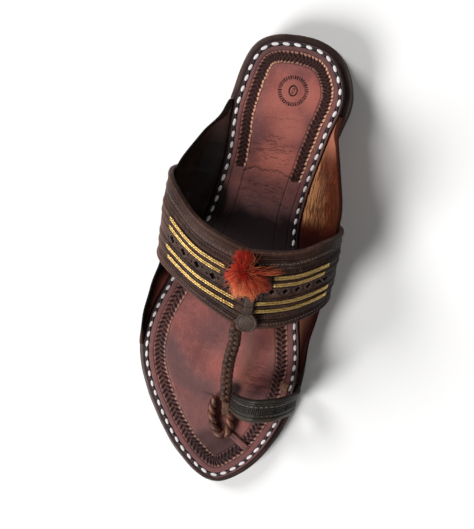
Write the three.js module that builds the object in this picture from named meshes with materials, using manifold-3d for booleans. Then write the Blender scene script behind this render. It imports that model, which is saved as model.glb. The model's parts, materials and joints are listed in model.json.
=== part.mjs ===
// Kolhapuri sandal for the right foot: a thonged leather slipper with two side flaps (ears), a
// wide instep band, a plaited toe braid, a big toe ring and a tassel. Millimetres, +Z up.
// Drawing frame: +X towards the inner (big toe) side, +Y towards the heel, Y = 0 at mid length,
// Z = 0 on the ground. At the end everything is shifted so that the origin is the centre of the
// bounding box on the ground.
import * as THREE from "three";
import { mergeVertices } from "three/addons/utils/BufferGeometryUtils.js";
import Module from "manifold-3d";

const wasm = await Module();
wasm.setup();

// ---------------------------------------------------------------- driving dimensions
const GAP = 0.3; // air left between neighbouring pieces
const OUTER = -1; // outer (little toe) side of the foot
const INNER = 1; // inner (big toe) side of the foot

const sole = {
  insoleThickness: 4,
  outsoleThickness: 6.5,
  insoleMargin: 2.8, // insole edge outside the stitch line
  outsoleMargin: 6, // outsole edge outside the stitch line
  edgeRound: 0.7, // how far the worked edges are rounded back
  toeSpring: 4,
  toeSpringStart: -88,
  shankStart: -15,
  shankEnd: 54,
  heelRise: 13.2,
  heelBreast: 57,
  liftCount: 3,
  liftFlare: 0.5, // each lower lift steps out by this much
  outlineSamples: 480,
  stations: 36,
  liftStations: 18,
  rabbetStations: 24,
};

const ear = {
  thickness: 2,
  flange: 7, // how far the flap reaches in under the insole, from the stitch line
  baseMargin: 4.2, // where the flap turns up, outside the stitch line
  stations: 21,
  climbSteps: 6,
};

const band = {
  thickness: 2.4,
  bite: 0.4, // how deep the band is sunk into the flap that it is sewn to
  endClimb: 0.16, // where the band's ends stop, as a share of the climb from sole to crown
  rearCentre: 20.6, // rear edge at the crown
  frontCentre: -26.9, // front edge at the crown
  leanReach: 0.2, // how far from the crown the rows of relief take to reach their full lean
  steps: 34,
};

const rosette = { across: 4.5, along: 3, radius: 13.2, thickness: 1.5, scallops: 22, scallopDepth: 0.8 };
const brassDisc = { radius: 8.5, thickness: 0.8, dome: 0.9, sides: 24 };
const coinTab = {
  across: 7,
  along: -20.8,
  radius: 5.7,
  stemWidth: 5,
  thickness: 1.2,
  rearAlong: -5.6, // the stem starts on the rosette, just in front of the brass disc
  steps: 18,
};
const braid = {
  width: 7.2,
  thickness: 5,
  flatEnd: 2.2, // thickness where it is sewn to the band
  flatReach: 9,
  plait: 4.8, // length of one plait
  slant: 0.35, // how far the strands lean, in plaits
  relief: 0.13,
  sides: 10,
};
const toeTab = { thickness: 1.1 };
const toePost = { width: 4.8, thickness: 2.4, across: -0.6, along: -93.3, slotRoom: 1.2, steps: 10 };
const toeKnot = { diameter: 4.4, twist: 40, relief: 0.08, sides: 8, steps: 26 };
const toeRing = { thickness: 2.2, rimShare: 0.5, steps: 26, rows: 4 };
const tassel = {
  across: 5.2,
  along: 6.6,
  coreRadius: 8,
  coreHeight: 4.6,
  droop: 3.4,
  unevenLength: 0.12, // share by which the locks differ in length
  unevenClimb: 5, // degrees by which they differ in climb
  lockFlatness: 0.7,
  lockSides: 5,
};
const tasselRing = { across: 3.8, along: 9.8, radius: 1.9, wire: 0.45 };

// Stitch line round the insole, clockwise from the heel: a smooth closed curve through these.
const stitchLine = {
  columns: ["across", "along"],
  rows: [
    [5, 131], // heel back
    [23, 126.5],
    [33, 108], // heel, inner side
    [28.5, 83],
    [22.8, 50],
    [21.5, 26], // waist, inner side
    [29.5, -22],
    [35.6, -58], // ball, inner side
    [30.5, -91],
    [16.5, -118.5],
    [-1.5, -131.3], // toe tip
    [-21.5, -121.5],
    [-43, -95.5],
    [-55.6, -67],
    [-55.8, -43], // ball, outer side
    [-46.5, -14],
    [-30.5, 24], // waist, outer side
    [-23, 60],
    [-22.4, 98], // heel, outer side
    [-13.5, 126.5],
  ],
};

// Foot form that the upper is shaped on, a cross-section to each row: where its walls are widest
// and how high its crown stands above the insole.
const footForm = {
  crownAcross: 5,
  lowHandle: 0.25, // height of the curve's first handle, as a share of the crown's height
  highHandle: 1.1, // reach of its second handle, as a share of the first one's
  columns: ["along", "outerWidest", "innerWidest", "crownHeight"],
  rows: [
    [-60, -56, 38, 29],
    [-40, -56, 39.5, 34],
    [-20, -54.2, 42.8, 39.5],
    [0, -50.6, 45.6, 45.5],
    [20, -49.2, 46.5, 52],
    [40, -47.6, 46.3, 57],
    [57, -45.2, 44.2, 61],
    [76, -38.8, 39.6, 64],
    [89, -29.5, 36, 66],
    [97, -27.5, 35.5, 67],
  ],
};

// Height of each flap's free edge above the insole.
const earEdge = {
  [OUTER]: {
    columns: ["along", "height"],
    rows: [
      [-60, 1], [-45, 4], [-27, 8.5], [-8, 14], [6, 19], [25, 25.5], [42, 28.5], [51, 27.5],
      [57, 24], [66, 18], [76, 11.5], [87, 4.5], [96, 1],
    ],
  },
  [INNER]: {
    columns: ["along", "height"],
    rows: [
      [-57, 1], [-42, 4], [-25, 9], [-8, 14], [6, 19.5], [25, 25.5], [38, 27], [48, 24.5],
      [60, 18.5], [74, 11], [86, 5], [96, 1],
    ],
  },
};

// Sweep of the band's edges towards the heel, against the share of the way down from the crown.
const bandSweep = {
  columns: ["down", "outerRear", "outerFront", "innerRear", "innerFront"],
  rows: [
    [0, 0, 0, 0, 0],
    [0.2, 9.9, 12.5, 3.6, 5.1],
    [0.4, 24.4, 22.7, 10.8, 13.1],
    [0.6, 31.9, 28.4, 14.6, 20],
    [0.8, 34.4, 31.9, 16.6, 24.5],
    [1, 36.4, 35, 18, 28.5],
  ],
};

// Outer face of the band from its rear edge to its front edge: rolled rims, and one raised rib
// under each line of gold cord.
const bandRelief = {
  columns: ["share", "height"],
  rows: [
    [0, -0.6], [0.015, 0.4], [0.045, 0.5], [0.065, 0],
    [0.3, 0], [0.315, 0.5], [0.345, 0.5], [0.36, 0],
    [0.39, 0], [0.405, 0.5], [0.435, 0.5], [0.45, 0],
    [0.63, 0], [0.645, 0.5], [0.675, 0.5], [0.69, 0],
    [0.73, 0], [0.745, 0.5], [0.775, 0.5], [0.79, 0],
    [0.97, 0.1], [1, -0.5],
  ],
};

// How far a row of relief shifts towards the front edge on the outer side, and towards the rear
// edge on the inner side.
const rowLean = {
  columns: ["share", "lean"],
  rows: [[0, 0], [0.33, 0.02], [0.68, 0.03], [0.8, 0.03], [0.9, 0.01], [1, 0]],
};

// Four-sided pockets punched along the middle of the band, the same row on each side.
const punchedRow = { share: 0.54, size: 2, narrowing: 0.8, depth: 1.2, first: 0.26, pitch: 0.13, count: 4 };

// Corners of the small strip laid on the insole in front of the cord sling.
const toeTabCorners = {
  columns: ["across", "along"],
  rows: [[3.9, -106], [14.5, -112.6], [17.1, -109.5], [5.4, -102.4]],
};

// Path of the plait, from the front edge of the band down to the toe post.
const braidPathPoints = {
  columns: ["across", "along", "height"],
  rows: [[0.9, -37, 45], [-1.2, -50, 36.8], [-2, -64, 28.4], [-1.6, -74, 22.8], [-1.2, -80.6, 19.4]],
};

// Upper end of the toe post, where it leaves the plait.
const toePostPath = {
  columns: ["across", "along", "height"],
  rows: [[-1.1, -81.9, 18.6], [-0.9, -87, 15.9]],
};

// Path of the cord sling: from under the end of the plait, round in front of the toe post.
const toeKnotPath = {
  columns: ["across", "along", "lift"],
  rows: [
    [-7.2, -81.2, 2.6], [-9, -85, 1.8], [-9.3, -90.4, 0.6], [-7.8, -97, 0],
    [-4.9, -102.5, 0], [-0.9, -105.2, 0], [2.3, -102.6, 0], [2.9, -98, 0],
  ],
};

// How high the coin's stem and the coin lie above the band, from the brass disc to the toe.
const coinTabRise = {
  columns: ["ahead", "rise"],
  rows: [[0, 2.7], [5.2, 2.7], [8, 1.3], [11, 3.6], [24, 4.2]],
};

// Locks of the tassel, one fan to a row. Headings and climbs are in degrees, a heading turning
// from the inner side towards the heel.
const tasselFans = {
  columns: ["fromHeading", "toHeading", "count", "climb", "length", "width"],
  rows: [
    [-200, 20, 10, 4, 13.5, 5.6],
    [-180, 0, 8, 28, 12, 5.4],
    [-160, 40, 5, 58, 8.5, 5],
    [78, 122, 3, -6, 17.5, 4.4],
    [34, 34, 1, 12, 16, 2],
  ],
};

// The toe ring's two edges, from between the soles on the inner side over to the plait.
const toeRingArch = {
  columns: ["turn", "rearAcross", "frontAcross", "rearAlong", "frontAlong", "rearHeight", "frontHeight"],
  rows: [
    [0, 31, 29.5, -66, -79, 5.5, 5.5],
    [0.08, 38, 36.6, -66, -79, 5.5, 5.5],
    [0.16, 39.8, 38.4, -66, -79.3, 9, 9],
    [0.28, 40.6, 39, -65.5, -80, 19, 16.5],
    [0.42, 37, 34.5, -65.8, -81.2, 31.5, 26],
    [0.56, 28.5, 27, -68, -83.8, 38.5, 31.5],
    [0.7, 19.5, 18.5, -70.3, -86, 39.5, 32],
    [0.86, 9.5, 9, -72.3, -87.2, 34, 26.5],
    [1, 3.1, 2.6, -73.2, -86.4, 25.5, 19.5],
  ],
};

const colours = {
  insole: 0x7a3f38,
  outsole: 0x2e1f1a,
  lift: 0x33231c,
  upper: 0x3b251e,
  braid: 0x3a2018,
  ring: 0x2b241c,
  knot: 0x7a3a22,
  rosette: 0x241815,
  brass: 0xb08a3a,
  coin: 0x4c3a34,
  tassel: 0xb02a18,
};

// ---------------------------------------------------------------- small helpers
const lerp = (a, b, t) => a + (b - a) * t;
const smooth = (t) => t * t * (3 - 2 * t);
const clamp01 = (t) => Math.min(1, Math.max(0, t));
const range = (count) => Array.from({ length: count }, (_, i) => i);

// Reads a column of a table at any value of its first column, as a smooth curve with no overshoot.
function readTable(table, column, at) {
  const c = table.columns.indexOf(column);
  const { rows } = table;
  const last = rows.length - 1;
  const x = Math.min(rows[last][0], Math.max(rows[0][0], at));
  let i = 0;
  while (i < last - 1 && x > rows[i + 1][0]) i += 1;
  const secant = (k) => (rows[k + 1][c] - rows[k][c]) / (rows[k + 1][0] - rows[k][0]);
  const slope = (k) => {
    if (k === 0) return secant(0);
    if (k === last) return secant(last - 1);
    const before = secant(k - 1);
    const after = secant(k);
    return before * after > 0 ? (2 * before * after) / (before + after) : 0;
  };
  const width = rows[i + 1][0] - rows[i][0];
  const t = (x - rows[i][0]) / width;
  const hermite = (1 - t) ** 2 * (rows[i][c] * (1 + 2 * t) + slope(i) * width * t);
  return hermite + t * t * (rows[i + 1][c] * (3 - 2 * t) - slope(i + 1) * width * (1 - t));
}

// A mesh geometry from vertices and triangles, turned so that its faces point out.
function closedGeometry(vertices, triangles) {
  const volume = triangles.reduce((sum, [a, b, c]) => {
    const cross = new THREE.Vector3().crossVectors(vertices[b], vertices[c]);
    return sum + vertices[a].dot(cross);
  }, 0);
  const facing = volume > 0 ? triangles : triangles.map(([a, b, c]) => [a, c, b]);
  const geometry = new THREE.BufferGeometry();
  geometry.setAttribute(
    "position",
    new THREE.Float32BufferAttribute(vertices.flatMap((v) => [v.x, v.y, v.z]), 3),
  );
  geometry.setIndex(facing.flat());
  return geometry;
}

// A shell between two grids of points, closed round its four edges.
function shellGeometry(outerGrid, innerGrid) {
  const rows = outerGrid.length;
  const columns = outerGrid[0].length;
  const vertices = [...outerGrid.flat(), ...innerGrid.flat()];
  const out = (i, j) => i * columns + j;
  const inn = (i, j) => rows * columns + out(i, j);
  const triangles = [];
  const quad = (a, b, c, d) => triangles.push([a, b, c], [a, c, d]);
  for (let i = 0; i < rows - 1; i += 1) {
    for (let j = 0; j < columns - 1; j += 1) {
      quad(out(i, j), out(i, j + 1), out(i + 1, j + 1), out(i + 1, j));
      quad(inn(i, j), inn(i + 1, j), inn(i + 1, j + 1), inn(i, j + 1));
    }
  }
  for (let i = 0; i < rows - 1; i += 1) {
    quad(out(i, 0), out(i + 1, 0), inn(i + 1, 0), inn(i, 0));
    quad(out(i + 1, columns - 1), out(i, columns - 1), inn(i, columns - 1), inn(i + 1, columns - 1));
  }
  for (let j = 0; j < columns - 1; j += 1) {
    quad(out(0, j + 1), out(0, j), inn(0, j), inn(0, j + 1));
    quad(out(rows - 1, j), out(rows - 1, j + 1), inn(rows - 1, j + 1), inn(rows - 1, j));
  }
  return closedGeometry(vertices, triangles);
}

// A solid through a stack of closed rings, with a fan over each end.
function ringsGeometry(rings) {
  const sides = rings[0].length;
  const vertices = rings.flat();
  const centre = (ring) => ring.reduce((sum, p) => sum.add(p), new THREE.Vector3()).divideScalar(sides);
  const first = vertices.push(centre(rings[0])) - 1;
  const last = vertices.push(centre(rings[rings.length - 1])) - 1;
  const triangles = [];
  for (let i = 0; i < rings.length - 1; i += 1) {
    for (let j = 0; j < sides; j += 1) {
      const a = i * sides + j;
      const b = i * sides + ((j + 1) % sides);
      triangles.push([a, b, b + sides], [a, b + sides, a + sides]);
    }
  }
  const top = (rings.length - 1) * sides;
  for (let j = 0; j < sides; j += 1) {
    triangles.push([first, (j + 1) % sides, j], [last, top + j, top + ((j + 1) % sides)]);
  }
  return closedGeometry(vertices, triangles);
}

function toSolid(geometry) {
  const bare = geometry.clone();
  bare.deleteAttribute("normal");
  bare.deleteAttribute("uv");
  const merged = mergeVertices(bare, 1e-4);
  const mesh = new wasm.Mesh({
    numProp: 3,
    vertProperties: new Float32Array(merged.attributes.position.array),
    triVerts: new Uint32Array(merged.index.array),
  });
  mesh.merge();
  return new wasm.Manifold(mesh);
}

function toGeometry(solid) {
  const mesh = solid.getMesh();
  const geometry = new THREE.BufferGeometry();
  geometry.setAttribute("position", new THREE.BufferAttribute(mesh.vertProperties, 3));
  geometry.setIndex(new THREE.BufferAttribute(mesh.triVerts, 1));
  return geometry;
}

// ---------------------------------------------------------------- sole outline and profile
const stitchCurve = new THREE.CatmullRomCurve3(
  stitchLine.rows.map(([across, along]) => new THREE.Vector3(across, along, 0)),
  true,
  "centripetal",
);

// The outline a given margin outside the stitch line, as two chains from toe to heel.
const outlineCache = new Map();
function outlineChains(margin) {
  if (outlineCache.has(margin)) return outlineCache.get(margin);
  const count = sole.outlineSamples;
  const points = range(count).map((i) => {
    const p = stitchCurve.getPoint(i / count);
    const t = stitchCurve.getTangent(i / count);
    return { x: p.x - t.y * margin, y: p.y + t.x * margin };
  });
  const at = (i) => points[((i % count) + count) % count];
  const heel = points.reduce((best, p, i) => (p.y > points[best].y ? i : best), 0);
  const toe = points.reduce((best, p, i) => (p.y < points[best].y ? i : best), 0);
  const inner = range(((toe - heel + count) % count) + 1).map((i) => at(heel + i)).reverse();
  const outer = range(((heel - toe + count) % count) + 1).map((i) => at(toe + i));
  const chains = { [INNER]: inner, [OUTER]: outer, toe: at(toe).y, heel: at(heel).y };
  outlineCache.set(margin, chains);
  return chains;
}

// Where the outline lies across the foot, on one side, at a place along it.
function edgeAcross(side, along, margin) {
  const chain = outlineChains(margin)[side];
  let i = 1;
  while (i < chain.length - 1 && chain[i].y < along) i += 1;
  const a = chain[i - 1];
  const b = chain[i];
  return lerp(a.x, b.x, clamp01((along - a.y) / Math.max(1e-6, b.y - a.y)));
}

// Height of the outsole's underside above the ground.
function soleRise(along) {
  const shank = smooth(clamp01((along - sole.shankStart) / (sole.shankEnd - sole.shankStart)));
  const toe = clamp01((sole.toeSpringStart - along) / (outlineChains(0).heel + sole.toeSpringStart));
  return sole.heelRise * shank + sole.toeSpring * toe * toe;
}

const outsoleTop = (along) => soleRise(along) + sole.outsoleThickness;
const insoleBottom = (along) => outsoleTop(along) + GAP;
const insoleTop = (along) => insoleBottom(along) + sole.insoleThickness;

// A layer of sole leather. Each level gives a margin outside the stitch line and a height.
function layerGeometry(levels, stations, from = -Infinity) {
  const rings = levels.map(({ margin, height }) => {
    const chains = outlineChains(margin);
    const start = Math.max(from, chains.toe + 0.02);
    const end = chains.heel - 0.02;
    const alongs = range(stations + 1).map((i) => {
      const share = i / stations;
      const even = from > chains.toe ? Math.sin((share * Math.PI) / 2) : (1 - Math.cos(share * Math.PI)) / 2;
      return lerp(start, end, even);
    });
    const point = (side) => (y) => new THREE.Vector3(edgeAcross(side, y, margin), y, height(y));
    return [...alongs.map(point(INNER)), ...alongs.map(point(OUTER)).reverse()];
  });
  const count = rings[0].length;
  const triangles = [];
  for (let k = 0; k < rings.length - 1; k += 1) {
    for (let i = 0; i < count; i += 1) {
      const a = k * count + i;
      const b = k * count + ((i + 1) % count);
      triangles.push([a, b, b + count], [a, b + count, a + count]);
    }
  }
  const top = (rings.length - 1) * count;
  for (let i = 0; i < count / 2 - 1; i += 1) {
    const across = count - 1 - i;
    triangles.push([i, across, i + 1], [across, across - 1, i + 1]);
    triangles.push([top + i, top + i + 1, top + across], [top + across, top + i + 1, top + across - 1]);
  }
  return closedGeometry(rings.flat(), triangles);
}

function worked(margin, low, high) {
  const round = sole.edgeRound;
  return [
    { margin: margin - round, height: low },
    { margin, height: (y) => low(y) + round },
    { margin, height: (y) => high(y) - round },
    { margin: margin - round, height: high },
  ];
}

// ---------------------------------------------------------------- foot form
// Shares of the curve's base, handles and crown in its widest point.
const widestAt = 0.45;
const widestShare = {
  base: (1 - widestAt) ** 3 + 3 * widestAt * (1 - widestAt) ** 2 + 3 * widestAt ** 2 * (1 - widestAt),
  reach: 3 * widestAt * (1 - widestAt) ** 2 + 3 * footForm.highHandle * widestAt ** 2 * (1 - widestAt),
  crown: widestAt ** 3,
};

// A point on the form: climb runs from 0 at the sole edge to 1 at the crown.
function formPoint(side, climb, along) {
  const base = edgeAcross(side, along, ear.baseMargin);
  const floor = insoleBottom(along) - GAP - ear.thickness / 2;
  const crown = footForm.crownAcross;
  const height = insoleTop(along) + readTable(footForm, "crownHeight", along) - floor;
  const widest = readTable(footForm, side === INNER ? "innerWidest" : "outerWidest", along);
  const reach = (widest - widestShare.base * base - widestShare.crown * crown) / widestShare.reach;
  const curve = new THREE.CubicBezierCurve(
    new THREE.Vector2(base, floor),
    new THREE.Vector2(base + reach, floor + footForm.lowHandle * height),
    new THREE.Vector2(base + footForm.highHandle * reach, floor + height),
    new THREE.Vector2(crown, floor + height),
  );
  const p = curve.getPoint(climb);
  return new THREE.Vector3(p.x, along, p.y);
}

function climbAtHeight(side, along, height) {
  let low = 0;
  let high = 1;
  for (let i = 0; i < 24; i += 1) {
    const middle = (low + high) / 2;
    if (formPoint(side, middle, along).z < insoleTop(along) + height) low = middle;
    else high = middle;
  }
  return low;
}

// ---------------------------------------------------------------- upper: ears and instep band
const earFront = (side) => earEdge[side].rows[0][0];
const earHeel = (side) => earEdge[side].rows.at(-1)[0];

function earGeometry(side) {
  const outerGrid = [];
  const innerGrid = [];
  for (let i = 0; i <= ear.stations; i += 1) {
    const along = lerp(earFront(side), earHeel(side), i / ear.stations);
    const top = climbAtHeight(side, along, readTable(earEdge[side], "height", along));
    const wall = range(ear.climbSteps + 1).map((j) => formPoint(side, (top * j) / ear.climbSteps, along));
    const tongue = wall[0].clone();
    tongue.x = edgeAcross(side, along, -ear.flange);
    const line = [tongue, ...wall];
    const offset = (sign) =>
      line.map((p, j) => {
        const before = line[Math.max(0, j - 1)];
        const after = line[Math.min(line.length - 1, j + 1)];
        const t = new THREE.Vector2(after.x - before.x, after.z - before.z).normalize();
        const out = (sign * side * ear.thickness) / 2;
        return new THREE.Vector3(p.x + t.y * out, along, p.z - t.x * out);
      });
    outerGrid.push(offset(1));
    innerGrid.push(offset(-1));
  }
  return shellGeometry(outerGrid, innerGrid);
}

// A point on the band's own surface, its height measured outwards from its inner face.
// cross runs from -1 (outer end) to 1 (inner end), share from the rear edge to the front edge.
function bandPlace(cross, share) {
  const side = cross < 0 ? OUTER : INNER;
  const down = Math.abs(cross);
  const name = side === INNER ? "inner" : "outer";
  const rear = band.rearCentre + readTable(bandSweep, `${name}Rear`, down);
  const front = band.frontCentre + readTable(bandSweep, `${name}Front`, down);
  return formPoint(side, 1 - down * (1 - band.endClimb), lerp(rear, front, share));
}

function bandNormal(cross, share) {
  const step = 0.01;
  const u = bandPlace(Math.min(1, cross + step), share).sub(bandPlace(Math.max(-1, cross - step), share));
  const v = bandPlace(cross, Math.max(0, share - step)).sub(bandPlace(cross, Math.min(1, share + step)));
  return u.cross(v).normalize();
}

function bandPoint(cross, share, height) {
  const lift = ear.thickness / 2 - band.bite + height;
  return bandPlace(cross, share).addScaledVector(bandNormal(cross, share), lift);
}

// Where a row of relief lies at a place across the foot.
function leaned(cross, share) {
  const turn = Math.min(1, Math.max(-1, cross / band.leanReach));
  return share - turn * readTable(rowLean, "lean", share);
}

function bandGeometry() {
  const crosses = range(band.steps + 1).map((i) => (2 * i) / band.steps - 1);
  const surface = (heightOf) =>
    crosses.map((cross) =>
      bandRelief.rows.map(([share, relief]) => bandPoint(cross, leaned(cross, share), heightOf(relief))),
    );
  return shellGeometry(surface((relief) => band.thickness + relief), surface(() => 0));
}

// A four-sided pocket punched into the band's outer face.
function punchGeometry(cross) {
  const share = leaned(cross, punchedRow.share);
  const centre = bandPoint(cross, share, band.thickness);
  const normal = bandNormal(cross, share);
  const ahead = bandPoint(cross + 0.02, share, band.thickness).sub(centre).normalize();
  const aside = new THREE.Vector3().crossVectors(normal, ahead).normalize();
  const ring = (lift) =>
    [[1, 0], [0, 1], [-1, 0], [0, -1]].map(([a, b]) =>
      centre
        .clone()
        .addScaledVector(ahead, a * punchedRow.size * punchedRow.narrowing)
        .addScaledVector(aside, b * punchedRow.size)
        .addScaledVector(normal, lift),
    );
  return ringsGeometry([ring(-punchedRow.depth), ring(punchedRow.depth)]);
}

function upperGeometry() {
  let solid = toSolid(bandGeometry()).add(toSolid(earGeometry(OUTER))).add(toSolid(earGeometry(INNER)));
  for (const i of range(punchedRow.count)) {
    const down = punchedRow.first + i * punchedRow.pitch;
    for (const side of [OUTER, INNER]) solid = solid.subtract(toSolid(punchGeometry(side * down)));
  }
  return toGeometry(solid);
}

// ---------------------------------------------------------------- sole pieces
// The step in the outsole's upper edge that takes the flaps and the toe ring's end.
function rabbetGeometry(side, from, to) {
  const clearance = 1; // how far the cutting shape stands proud of the leather, and past its ends
  const count = sole.rabbetStations;
  const rows = range(count + 1).map((i) => lerp(from - clearance, to + clearance, i / count));
  const depth = ear.thickness + GAP;
  const line = (y, lift) => [
    new THREE.Vector3(edgeAcross(side, y, -ear.flange - GAP), y, outsoleTop(y) + lift),
    new THREE.Vector3(edgeAcross(side, y, sole.outsoleMargin + 4 * clearance), y, outsoleTop(y) + lift),
  ];
  return shellGeometry(rows.map((y) => line(y, clearance)), rows.map((y) => line(y, -depth)));
}

function outsoleGeometry() {
  const layer = layerGeometry(worked(sole.outsoleMargin, soleRise, outsoleTop), sole.stations);
  const ringFront = readTable(toeRingArch, "frontAlong", 0);
  const outerRabbet = rabbetGeometry(OUTER, earFront(OUTER), earHeel(OUTER));
  const innerRabbet = rabbetGeometry(INNER, ringFront, earHeel(INNER));
  return toGeometry(toSolid(layer).subtract(toSolid(outerRabbet)).subtract(toSolid(innerRabbet)));
}

function insoleGeometry() {
  const layer = layerGeometry(worked(sole.insoleMargin, insoleBottom, insoleTop), sole.stations);
  const slotLength = toePost.thickness + 2 * GAP + toePost.slotRoom;
  const slot = new THREE.BoxGeometry(toePost.width + 2 * GAP, slotLength, 3 * sole.insoleThickness);
  slot.translate(toePost.across, toePost.along, insoleTop(toePost.along));
  return toGeometry(toSolid(layer).subtract(toSolid(slot)));
}

function liftGeometry(index) {
  const thickness = (sole.heelRise - sole.liftCount * GAP) / sole.liftCount;
  const low = index * (thickness + GAP);
  const margin = sole.outsoleMargin + sole.liftFlare * (sole.liftCount - 1 - index);
  const levels = worked(margin, () => low, () => low + thickness);
  return layerGeometry(levels, sole.liftStations, sole.heelBreast);
}

// ---------------------------------------------------------------- toe pieces
function sweptGeometry(curve, steps, section) {
  const up = new THREE.Vector3(0, 0, 1);
  const rings = range(steps + 1).map((i) => {
    const t = i / steps;
    const centre = curve.getPointAt(t);
    const ahead = curve.getTangentAt(t);
    const aside = new THREE.Vector3().crossVectors(ahead, up).normalize();
    const above = new THREE.Vector3().crossVectors(aside, ahead).normalize();
    return section(t).map(([a, b]) => centre.clone().addScaledVector(aside, a).addScaledVector(above, b));
  });
  return ringsGeometry(rings);
}

// The braid starts flattened on the front edge of the band, then runs down to the toe post.
const braidRest = band.thickness + 2 * GAP + braid.flatEnd / 2;
const braidPath = new THREE.CatmullRomCurve3([
  bandPoint(-0.01, 0.89, braidRest),
  bandPoint(-0.02, 0.985, braidRest + 0.5),
  ...braidPathPoints.rows.map((point) => new THREE.Vector3(...point)),
]);

function braidGeometry() {
  const length = braidPath.getLength();
  const stepsPerPlait = 3;
  const steps = Math.round((length / braid.plait) * stepsPerPlait);
  return sweptGeometry(braidPath, steps, (t) =>
    range(braid.sides).map((k) => {
      const angle = (2 * Math.PI * (k + 0.5)) / braid.sides;
      const a = Math.cos(angle);
      const b = Math.sin(angle);
      const turns = (t * length) / braid.plait + (a > 0 ? 0.5 : 0) + braid.slant * Math.abs(a);
      const swell = 1 + braid.relief * Math.cos(2 * Math.PI * turns);
      const grown = smooth(clamp01((t * length) / braid.flatReach));
      const thickness = lerp(braid.flatEnd / (1 + braid.relief), braid.thickness, grown);
      return [(a * swell * braid.width) / 2, (b * swell * thickness) / 2];
    }),
  );
}

function toePostGeometry() {
  const { across, along, width, thickness } = toePost;
  const foot = insoleBottom(along) + GAP;
  const path = new THREE.CatmullRomCurve3([
    ...toePostPath.rows.map((point) => new THREE.Vector3(...point)),
    new THREE.Vector3(across, along + thickness / 2, insoleTop(along) + thickness),
    new THREE.Vector3(across, along, insoleTop(along) - thickness / 2),
    new THREE.Vector3(across, along, foot),
  ]);
  const corner = [[-1, -1], [1, -1], [1, 1], [-1, 1]];
  const section = corner.map(([a, b]) => [(a * width) / 2, (b * thickness) / 2]);
  return sweptGeometry(path, toePost.steps, () => section);
}

// The cord sling that lies on the insole in front of the toe post.
function toeKnotGeometry() {
  const rest = (along) => insoleTop(along) + GAP + toeKnot.diameter / 2;
  const path = new THREE.CatmullRomCurve3(
    toeKnotPath.rows.map(([across, along, lift]) => new THREE.Vector3(across, along, rest(along) + lift)),
  );
  const radius = toeKnot.diameter / 2;
  return sweptGeometry(path, toeKnot.steps, (t) =>
    range(toeKnot.sides).map((k) => {
      const angle = (2 * Math.PI * k) / toeKnot.sides;
      const swell = 1 + toeKnot.relief * Math.cos(2 * angle + t * toeKnot.twist);
      return [radius * swell * Math.cos(angle), radius * swell * Math.sin(angle)];
    }),
  );
}

function toeTabGeometry() {
  const [a, b, c, d] = toeTabCorners.rows;
  const level = (height) =>
    [[a, b], [d, c]].map((pair) =>
      pair.map(([across, along]) => new THREE.Vector3(across, along, insoleTop(along) + height)),
    );
  return shellGeometry(level(GAP + toeTab.thickness), level(GAP));
}

// The toe ring: a strap that rises from between the soles, arches over and ends at the toe post.
function toeRingPlace(turn, share) {
  const read = (column) => readTable(toeRingArch, column, turn);
  return new THREE.Vector3(
    lerp(read("rearAcross"), read("frontAcross"), share),
    lerp(read("rearAlong"), read("frontAlong"), share),
    lerp(read("rearHeight"), read("frontHeight"), share),
  );
}

function toeRingGeometry() {
  const turns = range(toeRing.steps + 1).map((i) => i / toeRing.steps);
  const shares = range(toeRing.rows + 1).map((j) => j / toeRing.rows);
  const surface = (height) =>
    turns.map((turn) =>
      shares.map((share) => {
        const step = 0.01;
        const u = toeRingPlace(Math.min(1, turn + step), share);
        u.sub(toeRingPlace(Math.max(0, turn - step), share));
        const v = toeRingPlace(turn, 1).sub(toeRingPlace(turn, 0));
        const normal = u.cross(v).normalize();
        const rim = share === 0 || share === 1 ? toeRing.rimShare : 1;
        return toeRingPlace(turn, share).addScaledVector(normal, height * rim);
      }),
    );
  return shellGeometry(surface(-toeRing.thickness / 2), surface(toeRing.thickness / 2));
}

// ---------------------------------------------------------------- ornament on the band
// Finds the band's cross and share for a place seen from above, near the crown.
function bandAt(across, along) {
  const step = 0.02;
  let cross = 0;
  let share = 0.5;
  for (let i = 0; i < 12; i += 1) {
    const p = bandPoint(cross, share, band.thickness);
    const alongBand = bandPoint(cross + step, share, band.thickness).sub(p).divideScalar(step);
    const acrossBand = bandPoint(cross, share + step, band.thickness).sub(p).divideScalar(step);
    const missX = across - p.x;
    const missY = along - p.y;
    const area = alongBand.x * acrossBand.y - alongBand.y * acrossBand.x;
    cross += (missX * acrossBand.y - missY * acrossBand.x) / area;
    share += (alongBand.x * missY - alongBand.y * missX) / area;
  }
  return { cross, share };
}

// The point a given height above the band's outer face, for a place seen from above.
function aboveBand(across, along, height) {
  const { cross, share } = bandAt(across, along);
  return bandPoint(cross, share, band.thickness + height);
}

// A thin plate laid on the band: outline points are offsets across and along from a centre.
function plateGeometry(outline, centre, low, thickness, rings, dome = 0) {
  const at = ([dx, dy], share, height) =>
    aboveBand(centre.across + dx * share, centre.along + dy * share, height);
  const levels = [];
  for (let r = 1; r <= rings; r += 1) levels.push(outline.map((p) => at(p, r / rings, low)));
  for (let r = rings; r >= 1; r -= 1) {
    const bulge = dome * (1 - (r / rings) ** 2);
    levels.push(outline.map((p) => at(p, r / rings, low + thickness + bulge)));
  }
  return ringsGeometry(levels);
}

const ribHeight = Math.max(...bandRelief.rows.map((row) => row[1]));
const rosetteLow = ribHeight + GAP; // clears the ribs under the gold cords
const brassLow = rosetteLow + rosette.thickness + GAP;
const brassTop = brassLow + brassDisc.thickness + brassDisc.dome;

function rosetteGeometry() {
  const count = rosette.scallops * 2;
  const outline = range(count).map((i) => {
    const angle = (2 * Math.PI * i) / count;
    const radius = rosette.radius - (i % 2) * rosette.scallopDepth;
    return [radius * Math.cos(angle), radius * Math.sin(angle)];
  });
  return plateGeometry(outline, rosette, rosetteLow, rosette.thickness, 2);
}

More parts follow.
